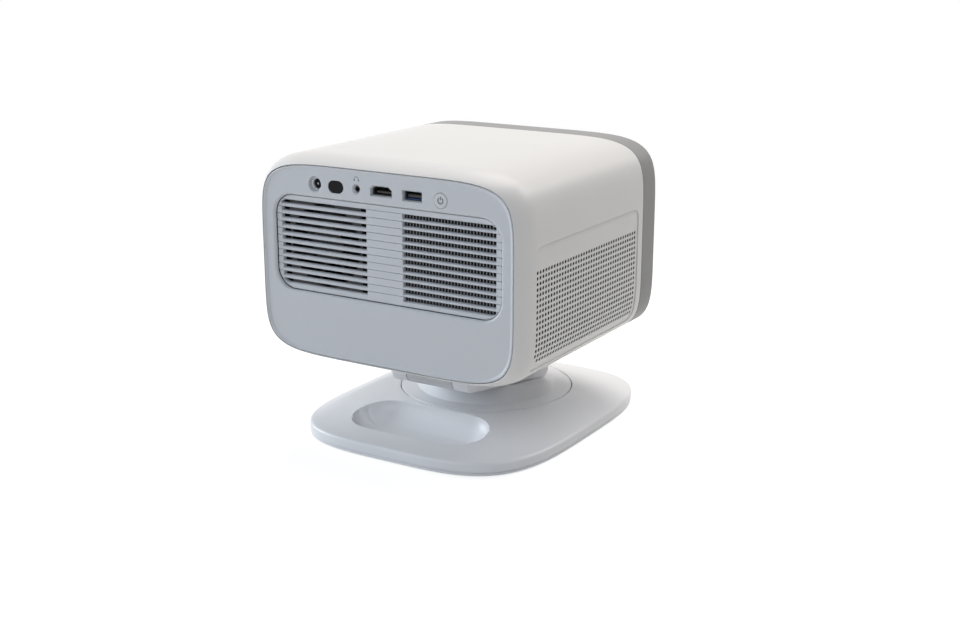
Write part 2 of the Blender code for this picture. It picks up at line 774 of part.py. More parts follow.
def lens_hood(look):
    """A cone that narrows from the front panel to the lens barrel."""
    outer, wall = HOOD_RADIUS - GAP, HOOD_LIP
    throat = BARREL_RADIUS - BARREL_WALL
    return turned("lens_hood", [
        (outer, 0), (outer, FRONT_THICKNESS), (BARREL_RADIUS + wall, HOOD_DEPTH),
        (throat, HOOD_DEPTH), (throat, HOOD_DEPTH - wall), (outer - wall, 0),
    ], look, (LENS_X, FRONT_FACE, LENS_Z), "Y", DISC_STEPS // 2)


def lens_barrel(look):
    inner = BARREL_RADIUS - BARREL_WALL
    return turned("lens_barrel", [
        (inner, 0), (BARREL_RADIUS, 0), (BARREL_RADIUS, BARREL_LENGTH), (inner, BARREL_LENGTH),
    ], look, (LENS_X, BARREL_FRONT, LENS_Z), "Y", DISC_STEPS // 2)


def lens_element(look):
    radius = BARREL_RADIUS - BARREL_WALL - GAP
    bulge = [
        (radius * math.cos(math.pi / 2 * step / EDGE_STEPS),
         LENS_BULGE * (1 - math.sin(math.pi / 2 * step / EDGE_STEPS)))
        for step in range(EDGE_STEPS)
    ]
    back = LENS_BULGE + LENS_THICKNESS
    return turned("lens_element", bulge + [(0, 0), (0, back), (radius, back)], look,
                  (LENS_X, BARREL_FRONT + GAP, LENS_Z), "Y", DISC_STEPS // 2)


def focus_cell(look):
    outer = BARREL_RADIUS - BARREL_WALL - GAP
    place = (LENS_X, BARREL_FRONT + FOCUS_BACK, LENS_Z)
    return turned("focus_cell", [
        (FOCUS_BORE, 0), (outer, 0), (outer, FOCUS_LENGTH), (0, FOCUS_LENGTH),
        (0, FOCUS_LENGTH / 2), (FOCUS_BORE, FOCUS_LENGTH / 3),
    ], look, place, "Y", DISC_STEPS // 2)


def light_engine(look):
    """Optical block on the hinge bracket, with the block that feeds the heat sink."""
    floor = BRACKET_TOP + GAP
    back = ENGINE_FRONT + ENGINE_DEPTH
    engine = box(
        "light_engine", (-ENGINE_HALF_WIDTH, ENGINE_FRONT, floor),
        (ENGINE_HALF_WIDTH, back, floor + ENGINE_HEIGHT), look,
    )
    foot = box(
        "add_engine_foot", (-ARM_HALF_WIDTH, back - OVERRUN, floor),
        (ARM_HALF_WIDTH, TILT_Y, floor + OVERRUN),
    )
    half = FIN_PITCH * (FIN_COUNT - 1) / 2
    heat_block = box(
        "add_heat_block",
        (HEATSINK_X - half, back - OVERRUN, GRILLE_MID_Z - FIN_HEIGHT / 2),
        (HEATSINK_X + half, GRILLE_BACK - FIN_DEPTH - FIN_BASE - 2 * GAP,
         floor + ENGINE_HEIGHT - OVERRUN),
    )
    return fused(engine, foot, heat_block)


def heatsink(look):
    """Upright fins in a row across the right-hand louvres, on one back plate."""
    root = GRILLE_BACK - GAP - FIN_DEPTH
    tip = GRILLE_BACK - GAP
    half = FIN_PITCH * (FIN_COUNT - 1) / 2 + FIN_THICKNESS / 2
    points = [(HEATSINK_X + half, root - FIN_BASE), (HEATSINK_X - half, root - FIN_BASE)]
    for index in range(FIN_COUNT):
        x = HEATSINK_X + FIN_PITCH * (index - (FIN_COUNT - 1) / 2)
        left, right = x - FIN_THICKNESS / 2, x + FIN_THICKNESS / 2
        points += [(left, root), (left, tip), (right, tip), (right, root)]
    return prism("heatsink", points[:2] + points[3:-1], GRILLE_MID_Z - FIN_HEIGHT / 2,
                 GRILLE_MID_Z + FIN_HEIGHT / 2, look)


def fan_frame(look):
    back = GRILLE_BACK - GAP - FAN_DEPTH
    front = GRILLE_BACK - GAP
    place = (FAN_X, 0, GRILLE_MID_Z)
    outline = rounded_rectangle(FAN_SIZE, -FAN_SIZE / 2, FAN_SIZE / 2, FAN_CORNER, EDGE_STEPS)
    frame = prism("fan_frame", outline, back, front, look, place, "Y")
    cut(frame, prism("cut_duct", circle(FAN_DUCT_RADIUS, DISC_STEPS // 2),
                     back - OVERRUN, front + OVERRUN, None, place, "Y"))
    for index in range(SPOKE_COUNT):
        spoke = prism(
            f"add_spoke_{index}", rectangle(SPOKE_WIDTH, FAN_DUCT_RADIUS + SPOKE_WIDTH),
            back, back + FAN_BACK, None, (0, 0, (FAN_DUCT_RADIUS + SPOKE_WIDTH) / 2), "Y",
        )
        turn = 2 * math.pi * index / SPOKE_COUNT
        spoke.data.transform(Matrix.Translation(place) @ Matrix.Rotation(turn, 4, "Y"))
        fused(frame, spoke)
    return fused(frame, prism("add_motor", circle(FAN_HUB_RADIUS), back, back + FAN_BACK,
                              None, place, "Y"))


def fan_rotor(look):
    low = GRILLE_BACK - GAP - FAN_DEPTH + FAN_BACK + FAN_HUB_CLEARANCE
    high = GRILLE_BACK - GAP - FAN_BACK
    place = (FAN_X, 0, GRILLE_MID_Z)
    rotor = prism("fan_rotor", circle(FAN_HUB_RADIUS), low, high, look, place, "Y")
    tip = FAN_DUCT_RADIUS - FAN_TIP_CLEARANCE
    root = FAN_HUB_RADIUS - BLADE_THICKNESS
    for index in range(BLADE_COUNT):
        blade = box(
            f"add_blade_{index}", (-BLADE_CHORD / 2, -BLADE_THICKNESS / 2, root),
            (BLADE_CHORD / 2, BLADE_THICKNESS / 2, math.sqrt(tip ** 2 - BLADE_CHORD ** 2 / 4)),
        )
        turn = Matrix.Rotation(2 * math.pi * index / BLADE_COUNT, 4, "Y")
        middle = Matrix.Translation((FAN_X, (low + high) / 2, GRILLE_MID_Z))
        blade.data.transform(middle @ turn @ Matrix.Rotation(BLADE_PITCH, 4, "Z"))
        fused(rotor, blade)
    return rotor


def hinge_bracket(look):
    """A plate on the shell's floor with one broad knuckle that reaches down to the pin."""
    reach = KNUCKLE_RADIUS + BRACKET_MARGIN
    plate = box("hinge_bracket", (-ARM_HALF_WIDTH, TILT_Y - reach, FLOOR_Z + GAP),
                (ARM_HALF_WIDTH, TILT_Y + reach, BRACKET_TOP), look)
    top = BRACKET_TOP - BRACKET_THICKNESS / 2
    outline = [(TILT_Y + KNUCKLE_RADIUS, top), (TILT_Y - KNUCKLE_RADIUS, top)]
    outline += arc(TILT_Y, TILT_Z, KNUCKLE_RADIUS, math.pi, 2 * math.pi, TURN_STEPS // 2)
    fused(plate, prism("add_knuckle", outline, -KNUCKLE_HALF_WIDTH, KNUCKLE_HALF_WIDTH,
                       None, (0, 0, 0), "X"))
    return cut(plate, pin_bore("cut_knuckle_bore"))


def pin_bore(name):
    reach = ARM_HALF_WIDTH + OVERRUN
    return prism(name, circle(PIN_RADIUS + GAP), -reach, reach, None, (0, TILT_Y, TILT_Z), "X")


def hinge_pin(look):
    reach = ARM_HALF_WIDTH - GAP
    return prism("hinge_pin", circle(PIN_RADIUS), -reach, reach, look,
                 (0, TILT_Y, TILT_Z), "X")


# Arm and turntable


def foot_normal():
    """Direction square to the arm's underside, which touches its toe and its ears."""
    run = Vector((TILT_Y - TOE_Y, TILT_Z - TOE_Z))
    slope = math.atan2(run.y, run.x)
    return slope - math.acos((TOE_RADIUS - KNUCKLE_RADIUS) / run.length)


def underside(y, clearance=0.0):
    """Height of the arm's sloping underside, or of a plane that far below it."""
    normal = foot_normal()
    reach = KNUCKLE_RADIUS + clearance
    return TILT_Z + (reach - math.cos(normal) * (y - TILT_Y)) / math.sin(normal)


def arm_outline(inset):
    """The arm from the side: round toe, sloping foot, ear and flat top."""
    normal, steps = foot_normal(), TURN_STEPS // 4
    toe = arc(TOE_Y, TOE_Z, TOE_RADIUS - inset, -math.pi, normal, steps)
    ear = arc(TILT_Y, TILT_Z, KNUCKLE_RADIUS - inset, normal, math.pi / 2, 2 * steps)
    brow = arc(ARM_FRONT + ARM_CORNER, ARM_TOP - ARM_CORNER, ARM_CORNER - inset,
               math.pi / 2, math.pi, steps)
    return toe + ear + [(TILT_Y, ARM_TOP - inset)] + brow


def pocket_floor():
    return underside(SWIVEL_Y + SHAFT_FLANGE_RADIUS) + ARM_SEAT


def arm(look):
    """A sloping arm with two ears for the pin and a pocket that takes the shaft's flange."""
    rings = []
    for x, inset in ((-ARM_HALF_WIDTH, ARM_EDGE), (-ARM_HALF_WIDTH + ARM_EDGE, 0),
                     (ARM_HALF_WIDTH - ARM_EDGE, 0), (ARM_HALF_WIDTH, ARM_EDGE)):
        rings.append([(x, y, z) for y, z in arm_outline(inset)])
    body = loft("arm", rings, look)
    notch = KNUCKLE_HALF_WIDTH + GAP
    inner, front, rear = ARM_HALF_WIDTH - ARM_WALL, ARM_FRONT + ARM_WALL, NOTCH_Y - ARM_WALL
    cut(body, box("cut_notch", (-notch, NOTCH_Y, DISC_BOTTOM),
                  (notch, TILT_Y + OVERRUN, ARM_TOP + OVERRUN)))
    cut(body, box("cut_pocket", (-inner + ARM_LEDGE, front + ARM_LEDGE, pocket_floor()),
                  (inner - ARM_LEDGE, rear - ARM_LEDGE, ARM_TOP + OVERRUN)))
    cut(body, box("cut_lid", (-inner, front, ARM_TOP - ARM_LID - GAP),
                  (inner, rear, ARM_TOP + OVERRUN)))
    return cut(body, pin_bore("cut_ear_bore"), shaft_bore("cut_arm_shaft"))


def arm_lid(look):
    across = ARM_HALF_WIDTH - ARM_WALL - GAP
    return box("arm_lid", (-across, ARM_FRONT + ARM_WALL + GAP, ARM_TOP - ARM_LID),
               (across, NOTCH_Y - ARM_WALL - GAP, ARM_TOP), look)


def shaft_bore(name):
    return prism(name, circle(SHAFT_RADIUS + GAP, DISC_STEPS // 2), DISC_BOTTOM - OVERRUN,
                 pocket_floor() + OVERRUN, None, (0, SWIVEL_Y, 0))


def turntable_disc(look):
    """A flat disc with a flared neck, cut off at the slope of the arm that sits on it."""
    outer = [(0, DISC_BOTTOM), (DISC_RADIUS, DISC_BOTTOM), (DISC_RADIUS, DISC_TOP - DISC_EDGE),
             (DISC_RADIUS - DISC_EDGE, DISC_TOP)]
    for step in range(NECK_STEPS + 1):
        share = step / NECK_STEPS
        flare = (NECK_FOOT_RADIUS - NECK_TOP_RADIUS) * (1 - share) ** 2
        outer.append((NECK_TOP_RADIUS + flare, DISC_TOP + GAP + NECK_RISE * share))
    top = DISC_TOP + GAP + NECK_RISE
    disc = turned("turntable_disc", outer + [(0, top)], look, (0, SWIVEL_Y, 0), "Z", DISC_STEPS)
    front, rear = SWIVEL_Y - DISC_RADIUS, SWIVEL_Y + DISC_RADIUS
    meets = front
    while underside(meets, GAP) < DISC_TOP + GAP:
        meets += GAP
    cut(disc, prism("cut_neck_slope", [
        (front, DISC_TOP + GAP), (meets, DISC_TOP + GAP), (rear, underside(rear, GAP)),
        (rear, top + OVERRUN), (front, top + OVERRUN),
    ], -DISC_RADIUS, DISC_RADIUS, None, (0, 0, 0), "X"))
    return cut(disc, shaft_bore("cut_disc_shaft"))


def swivel_shaft(look):
    """A hollow shaft, dropped through the arm and held by its flange above and a nut below."""
    floor = pocket_floor() + GAP
    bottom = COVER_TOP + SHAFT_TAIL - GAP
    inner = SHAFT_RADIUS - SHAFT_WALL
    return turned("swivel_shaft", [
        (inner, bottom), (SHAFT_RADIUS, bottom), (SHAFT_RADIUS, floor),
        (SHAFT_FLANGE_RADIUS, floor), (SHAFT_FLANGE_RADIUS, floor + SHAFT_FLANGE),
        (inner, floor + SHAFT_FLANGE),
    ], look, (0, SWIVEL_Y, 0), "Z", DISC_STEPS // 2)


def retaining_nut(look):
    top = CAVITY_TOP - GAP
    return turned("retaining_nut", [
        (SHAFT_RADIUS + GAP, top - NUT_HEIGHT), (NUT_RADIUS, top - NUT_HEIGHT),
        (NUT_RADIUS, top), (SHAFT_RADIUS + GAP, top),
    ], look, (0, SWIVEL_Y, 0), "Z", DISC_STEPS // 2)


# Base


def base_ring(z, inset):
    outline = squircle(BASE_WIDTH / 2 - inset, BASE_DEPTH / 2 - inset, BASE_EXPONENT, BASE_POINTS)
    return [(x, y, z) for x, y in outline]


def crown_ring(share, z, inset=0.0):
    """An outline part of the way from the base's edge to the round seat of the disc."""
    radius = WELL_RADIUS + BASE_LAND
    seat = circle(radius, BASE_POINTS)
    return [
        (x + (round_x - x) * share, y + (round_y + SWIVEL_Y - y) * share, z)
        for (x, y, z_edge), (round_x, round_y) in zip(base_ring(z, inset), seat)
    ]


def crown_height(share):
    start = BASE_SIDE_TOP + BASE_SHOULDER
    return start + (BASE_TOP - start) * (1 - (1 - share) ** CROWN_BEND)


def crown_rings():
    """The upright side, its rounded shoulder and the slope that rises to the disc."""
    rings = [base_ring(BASE_BOTTOM, 0)]
    for step in range(4):
        bend = math.pi / 6 * step
        rings.append(base_ring(
            BASE_SIDE_TOP + BASE_SHOULDER * math.sin(bend), BASE_SHOULDER * (1 - math.cos(bend))
        ))
    rings[-1] = crown_ring(0, crown_height(0), BASE_SHOULDER)
    for step in range(1, CROWN_STEPS + 1):
        share = step / CROWN_STEPS
        rings.append(crown_ring(share, crown_height(share), BASE_SHOULDER))
    return rings


def tray_ring(z, inset):
    outline = slot_outline(TRAY_LENGTH - 2 * inset, TRAY_WIDTH - 2 * inset, TURN_STEPS // 2)
    return [(x, TRAY_Y + y, z) for x, y in outline]


def tray_rings():
    """A scoop: upright at the rim, curving in to a flat floor."""
    rim = BASE_TOP - TRAY_LIP
    sweep = TRAY_WIDTH / 3
    rings = [tray_ring(BASE_TOP + OVERRUN, 0)]
    for step in range(TRAY_STEPS + 1):
        bend = math.pi / 2 * step / TRAY_STEPS
        rings.append(tray_ring(
            rim - (rim - TRAY_FLOOR) * math.sin(bend), sweep * (1 - math.cos(bend))
        ))
    return rings


def base_shell(look):
    shell = loft("base_shell", crown_rings(), look)
    cavity = loft("cut_cavity", [
        crown_ring(0, BASE_BOTTOM - OVERRUN, BASE_WALL),
        crown_ring(0, crown_height(0) - BASE_WALL, BASE_WALL),
        crown_ring(CAVITY_SHARE / 2, crown_height(CAVITY_SHARE / 2) - BASE_WALL, BASE_WALL),
        crown_ring(CAVITY_SHARE, CAVITY_TOP, BASE_WALL),
    ])
    under_tray = prism(
        "cut_under_tray",
        slot_outline(TRAY_LENGTH + 2 * TRAY_WALL, TRAY_WIDTH + 2 * TRAY_WALL, TURN_STEPS // 2),
        TRAY_FLOOR - TRAY_WALL, BASE_TOP + OVERRUN, None, (0, TRAY_Y, 0),
    )
    cut(cavity, under_tray)
    for index, (x, y) in enumerate(corners(SCREW_X, SCREW_Y)):
        cut(cavity, prism(f"cut_boss_{index}", circle(BOSS_RADIUS, TURN_STEPS // 2),
                          BASE_BOTTOM, BASE_TOP, None, (x, y, 0)))
    well = prism("cut_well", circle(WELL_RADIUS, DISC_STEPS), WELL_Z, BASE_TOP + OVERRUN,
                 None, (0, SWIVEL_Y, 0))
    bore = prism("cut_bore", circle(SHAFT_RADIUS + SHAFT_PLAY, DISC_STEPS // 2),
                 CAVITY_TOP - OVERRUN, BASE_TOP + OVERRUN, None, (0, SWIVEL_Y, 0))
    cut(shell, cavity, well, bore, loft("cut_tray", tray_rings()))
    for index, (x, y) in enumerate(corners(SCREW_X, SCREW_Y)):
        cut(shell, prism(f"cut_pilot_{index}", circle(SCREW_SHANK_RADIUS + GAP, TURN_STEPS // 2),
                         BASE_BOTTOM - OVERRUN, COVER_BOTTOM + SCREW_LENGTH + 4 * GAP, None,
                         (x, y, 0)))
    return shell


def corners(x, y):
    return [(x, y), (-x, y), (-x, -y), (x, -y)]


def base_cover(look):
    cover = loft("base_cover", [
        base_ring(COVER_BOTTOM, COVER_INSET + COVER_THICKNESS / 3),
        base_ring(COVER_BOTTOM + COVER_THICKNESS / 3, COVER_INSET),
        base_ring(COVER_TOP, COVER_INSET),
    ], look)
    for index, (x, y) in enumerate(corners(SCREW_X, SCREW_Y)):
        cut(cover, prism(f"cut_cover_head_{index}", circle(SCREW_HEAD_RADIUS + GAP, TURN_STEPS // 2),
                         COVER_BOTTOM - OVERRUN, COVER_BOTTOM + SCREW_HEAD, None, (x, y, 0)))
        cut(cover, prism(f"cut_cover_shank_{index}", circle(SCREW_SHANK_RADIUS + GAP, TURN_STEPS // 2),
                         COVER_BOTTOM - OVERRUN, COVER_TOP + OVERRUN, None, (x, y, 0)))
    for index, (x, y) in enumerate(corners(FOOT_X, FOOT_Y)):
        cut(cover, prism(f"cut_foot_{index}", circle(FOOT_RADIUS + GAP), COVER_BOTTOM - OVERRUN,
                         COVER_BOTTOM + FOOT_SINK, None, (x, y, 0)))
    return cover


def screw(name, x, y, head_face, up, look):
    """A pan-head screw; up is 1 where the head is above its shank."""
    profile = [
        (0, 0), (SCREW_HEAD_RADIUS - GAP, 0), (SCREW_HEAD_RADIUS, -GAP),
        (SCREW_HEAD_RADIUS, -SCREW_HEAD), (SCREW_SHANK_RADIUS, -SCREW_HEAD),
        (SCREW_SHANK_RADIUS, -SCREW_LENGTH), (0, -SCREW_LENGTH - SCREW_SHANK_RADIUS / 2),
    ]
    return turned(name, [(radius, up * height) for radius, height in profile], look,
                  (x, y, head_face), "Z", TURN_STEPS // 2)


def base_screws(look):
    for index, (x, y) in enumerate(corners(SCREW_X, SCREW_Y)):
        screw(f"base_screw_{index + 1}", x, y, COVER_BOTTOM - GAP, -1, look)


def feet(look):
    for index, (x, y) in enumerate(corners(FOOT_X, FOOT_Y)):
        prism(f"foot_{index + 1}", circle(FOOT_RADIUS), 0, COVER_BOTTOM + FOOT_SINK - GAP,
              look, (x, y, 0))


def ballast_plate(look):
    outline = squircle(BALLAST_HALF_WIDTH, BALLAST_HALF_DEPTH, BALLAST_EXPONENT, HEAD_POINTS // 2)
    low = COVER_TOP + GAP
    plate = prism("ballast_plate", outline, low, low + BALLAST_THICKNESS, look, (0, BALLAST_Y, 0))
    return cut(plate, prism("cut_ballast", circle(BALLAST_BORE, DISC_STEPS // 2), low - OVERRUN,
                            low + BALLAST_THICKNESS + OVERRUN, None, (0, SWIVEL_Y, 0)))


def swivel_washer(look):
    inner, top = WASHER_OUTER - WASHER_WIDTH, WASHER_BOTTOM + WASHER_THICKNESS
    return turned("swivel_washer", [
        (inner, WASHER_BOTTOM), (WASHER_OUTER, WASHER_BOTTOM), (WASHER_OUTER, top), (inner, top),
    ], look, (0, SWIVEL_Y, 0), "Z", DISC_STEPS // 2)


# Axes that the moving pieces hang from


def axis_empty(name, place, parent=None):
    empty = bpy.data.objects.new(name, None)
    bpy.context.scene.collection.objects.link(empty)
    empty.location = place
    bpy.context.view_layer.update()
    if parent:
        hang(empty, parent)
    return empty


def hang(obj, parent):
    obj.parent = parent
    obj.matrix_parent_inverse = parent.matrix_world.inverted()
    bpy.context.view_layer.update()


def recentre(obj, place):
    """Moves a piece's origin to its own axis and leaves the piece where it is."""
    obj.data.transform(Matrix.Translation(-Vector(place)))
    obj.location = place


def build():
    clear_scene()
    white = finish("satin_white", (0.79, 0.79, 0.78), 0.42)
    panel_white = finish("panel_white", (0.74, 0.76, 0.79), 0.45)
    base_white = finish("base_white", (0.78, 0.79, 0.80), 0.40)
    grey = finish("bezel_grey", (0.27, 0.27, 0.27), 0.48)
    dark = finish("dark_plastic", (0.02, 0.02, 0.022), 0.45)
    gloss = finish("gloss_black", (0.006, 0.006, 0.007), 0.08)
    steel = finish("steel", (0.55, 0.55, 0.56), 0.35, 1.0)
    alloy = finish("alloy", (0.70, 0.71, 0.72), 0.40, 1.0)
    rubber = finish("rubber", (0.03, 0.03, 0.03), 0.85)
    acetal = finish("acetal", (0.72, 0.71, 0.68), 0.50)
    board = finish("board_green", (0.02, 0.12, 0.05), 0.50)
    glass = finish("lens_glass", (0.92, 0.95, 0.98), 0.02, 0.0, 1.0)

    base_shell(base_white)
    base_cover(base_white)
    ballast_plate(steel)
    swivel_washer(acetal)
    base_screws(steel)
    feet(rubber)

    swivel = axis_empty("swivel_axis", (0, SWIVEL_Y, DISC_TOP))
    tilt = axis_empty("tilt_axis", (0, TILT_Y, TILT_Z), swivel)

    turntable = [turntable_disc(base_white), swivel_shaft(steel), retaining_nut(steel),
                 arm(base_white), arm_lid(base_white)]

    head = [main_shell(white), rear_panel(panel_white), rear_grille(panel_white),
            front_bezel(grey), front_panel(grey), hinge_bracket(base_white), hinge_pin(steel),
            dc_jack(dark), ir_window(gloss), audio_jack(dark), main_board(board),
            lens_hood(dark), lens_barrel(dark), lens_element(glass), sensor_window(gloss),
            light_engine(dark), heatsink(alloy), fan_frame(dark)]
    sockets(steel)
    speaker_panels(white)
    speaker_drivers(dark)
    button, rotor, cell = power_button(panel_white), fan_rotor(dark), focus_cell(glass)

    by_name = bpy.data.objects
    head += [by_name[name] for name in (
        "video_port", "data_port", "speaker_grille_left", "speaker_grille_right",
        "speaker_driver_left", "speaker_driver_right",
    )]
    recentre(button, (BUTTON_X, FIELD_Y, PORT_Z - BUTTON_DROP))
    recentre(rotor, (FAN_X, GRILLE_BACK, GRILLE_MID_Z))
    recentre(cell, (LENS_X, BARREL_FRONT + FOCUS_BACK, LENS_Z))
    bpy.context.view_layer.update()
    for piece in turntable:
        hang(piece, swivel)
    for piece in head + [button, rotor, cell]:
        hang(piece, tilt)


build()
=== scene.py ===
import json
import math

import bmesh
import bpy
from mathutils import Matrix, Vector


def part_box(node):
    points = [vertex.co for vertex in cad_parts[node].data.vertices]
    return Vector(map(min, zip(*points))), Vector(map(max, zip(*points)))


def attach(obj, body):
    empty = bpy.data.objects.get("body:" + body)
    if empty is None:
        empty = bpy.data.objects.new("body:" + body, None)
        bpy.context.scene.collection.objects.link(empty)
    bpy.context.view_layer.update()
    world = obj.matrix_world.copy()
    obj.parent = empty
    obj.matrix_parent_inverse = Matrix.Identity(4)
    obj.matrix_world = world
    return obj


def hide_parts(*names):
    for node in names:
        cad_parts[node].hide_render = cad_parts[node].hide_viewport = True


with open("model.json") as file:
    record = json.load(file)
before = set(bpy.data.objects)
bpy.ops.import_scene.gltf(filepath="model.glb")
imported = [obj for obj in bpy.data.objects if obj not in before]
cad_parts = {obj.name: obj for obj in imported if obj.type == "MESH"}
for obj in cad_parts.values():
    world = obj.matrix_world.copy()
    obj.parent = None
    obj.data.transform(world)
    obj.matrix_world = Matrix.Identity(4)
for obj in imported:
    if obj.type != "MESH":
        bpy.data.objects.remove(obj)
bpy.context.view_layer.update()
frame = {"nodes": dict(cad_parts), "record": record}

# Home projector on a tilting and swivelling stand.
# Metres, Z up, the socket panel faces +Y and the lens looks along -Y.

scene = bpy.context.scene
nodes = frame["nodes"]
print("frame loaded:", len(nodes), "nodes")

# Shared shapes of the head, read from the frame where it gives them

shellLow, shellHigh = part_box("main_shell")
bezelLow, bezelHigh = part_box("front_bezel")
head = {
    "halfWidth": shellHigh.x,
    "halfHeight": (shellHigh.z - shellLow.z) / 2,
    "middle": (shellHigh.z + shellLow.z) / 2,
    "exponent": 6.2,
    "points": 224,
    "rear": shellHigh.y,
    "front": bezelLow.y,
    "wall": 0.0025,
    "edgeInset": 0.0052,
    "edgeDepth": 0.0190,
    "edgeDrop": 0.0007,
    "edgeRound": 0.0005,
    "seam": 0.0009,
    "dish": 0.0009,
}
fieldY = head["rear"] - head["dish"]


# Node helpers for shader and geometry trees alike


def addNode(tree, kind, inputs=None, **settings):
    node = tree.nodes.new(kind)
    for key, value in settings.items():
        setattr(node, key, value)
    for key, value in (inputs or {}).items():
        feed(tree, node.inputs[key], value)
    return node


def feed(tree, socket, value):
    if isinstance(value, Wire):
        value = value.socket
    if isinstance(value, bpy.types.NodeSocket):
        tree.links.new(value, socket)
    elif isinstance(value, (tuple, list)) and socket.type == "RGBA" and len(value) == 3:
        socket.default_value = (*value, 1.0)
    else:
        socket.default_value = value


def operator(operation, swapped=False):
    # a method that adds one Math node for a sign such as + or *
    def method(self, other):
        first, second = (other, self) if swapped else (self, other)
        return self.maths(operation, first, second)
    return method


class Wire:
    # wraps a socket, so that sums on it add Math nodes
    def __init__(self, tree, socket):
        self.tree, self.socket = tree, socket

    def maths(self, operation, first, second=None):
        inputs = {0: first} if second is None else {0: first, 1: second}
        node = addNode(self.tree, "ShaderNodeMath", inputs, operation=operation)
        return Wire(self.tree, node.outputs[0])

    __add__, __radd__ = operator("ADD"), operator("ADD", True)
    __sub__, __rsub__ = operator("SUBTRACT"), operator("SUBTRACT", True)
    __mul__, __rmul__ = operator("MULTIPLY"), operator("MULTIPLY", True)
    __truediv__, __rtruediv__ = operator("DIVIDE"), operator("DIVIDE", True)
    __pow__ = operator("POWER")

    def absolute(self):
        return self.maths("ABSOLUTE", self)

    def sign(self):
        return self.maths("SIGN", self)

    def over(self, limit):
        return self.maths("GREATER_THAN", self, limit)

    def clipped(self):
        return self.maths("MAXIMUM", self.maths("MINIMUM", self, 1.0), 0.0)


class Tree:
    # a node tree under construction
    def node(self, kind, inputs=None, **settings):
        return addNode(self.tree, kind, inputs, **settings)


# Finishes


class Finish(Tree):
    # one procedural material: constants go on the shader, patterns come from nodes
    def __init__(self, name, **constants):
        self.material = bpy.data.materials.new(name)
        self.material.use_nodes = True
        self.tree = self.material.node_tree
        self.shader = self.tree.nodes["Principled BSDF"]
        self.place = self.node("ShaderNodeTexCoord").outputs["Object"]
        self.feeds(**constants)

    def noise(self, scale, detail=2.0, rough=0.5, vector=None):
        node = self.node("ShaderNodeTexNoise", {
            "Vector": vector or self.place, "Scale": scale, "Detail": detail, "Roughness": rough,
        })
        return Wire(self.tree, node.outputs["Fac"])

    def stretched(self, scale):
        node = self.node("ShaderNodeMapping", {"Vector": self.place, "Scale": scale})
        return node.outputs[0]

    def mix(self, share, first, second):
        node = self.node("ShaderNodeMix", {0: share, 6: first, 7: second}, data_type="RGBA")
        return node.outputs[2]

    def feeds(self, **links):
        for key, value in links.items():
            feed(self.tree, self.shader.inputs[key.replace("_", " ")], value)

    def bump(self, height, depth, strength=1.0):
        node = self.node("ShaderNodeBump", {
            "Height": height, "Distance": depth, "Strength": strength,
        })
        self.feeds(Normal=node.outputs[0])


def shade(colour, factor):
    return tuple(min(1.0, channel * factor) for channel in colour)


def mouldedPlastic(name, colour, roughness, grain=2600, depth=0.00003, mottle=0.02, **constants):
    look = Finish(name, **constants)
    cloud = look.noise(14, 3)
    look.feeds(
        Base_Color=look.mix(cloud, shade(colour, 1 - mottle), shade(colour, 1 + mottle)),
        Roughness=roughness + (look.noise(45, 2) - 0.5) * 0.10,
    )
    look.bump(look.noise(grain, 2), depth, 0.35)
    return look.material


def turnedMetal(name, colour, roughness, scale=(400, 400, 60)):
    look = Finish(name, Metallic=1.0)
    streaks = look.noise(1.0, 3, 0.6, look.stretched(scale))
    look.feeds(
        Base_Color=look.mix(streaks, shade(colour, 0.88), shade(colour, 1.05)),
        Roughness=roughness + (streaks - 0.5) * 0.18,
    )
    look.bump(streaks, 0.00002, 0.4)
    return look.material


def tintedGloss(name, colour, roughness=0.22):
    look = Finish(name, Coat_Roughness=0.25, Specular_IOR_Level=0.12)
    look.feeds(
        Base_Color=look.mix(look.noise(30, 2), shade(colour, 0.8), shade(colour, 1.2)),
        Roughness=roughness + look.noise(120, 3) * 0.05,
        Coat_Weight=0.04 + look.noise(8, 1) * 0.04,
    )
    look.bump(look.noise(60, 1), 0.00001, 0.2)
    return look.material


def softRubber(name, colour):
    look = Finish(name, Specular_IOR_Level=0.3)
    look.feeds(
        Base_Color=look.mix(look.noise(90, 4), shade(colour, 0.7), shade(colour, 1.4)),
        Roughness=0.72 + look.noise(200, 2) * 0.2,
    )
    look.bump(look.noise(1500, 3), 0.00008, 0.6)
    return look.material


def coatedGlass(name, tint):
    look = Finish(name, Transmission_Weight=1.0, IOR=1.5)
    look.feeds(
        Base_Color=look.mix(look.noise(20, 1), tint, shade(tint, 0.96)),
        Roughness=0.01 + look.noise(80, 2) * 0.02,
    )
    return look.material


def circuitBoard(name):
    look = Finish(name)
    tracks = look.noise(1.0, 1, 0.3, look.stretched((900, 220, 900))).over(0.55)
    look.feeds(
        Base_Color=look.mix(tracks, (0.008, 0.06, 0.025), (0.02, 0.13, 0.05)),
        Roughness=0.35 + look.noise(300, 2) * 0.2,
    )
    look.bump(tracks, 0.00004, 0.5)
    return look.material


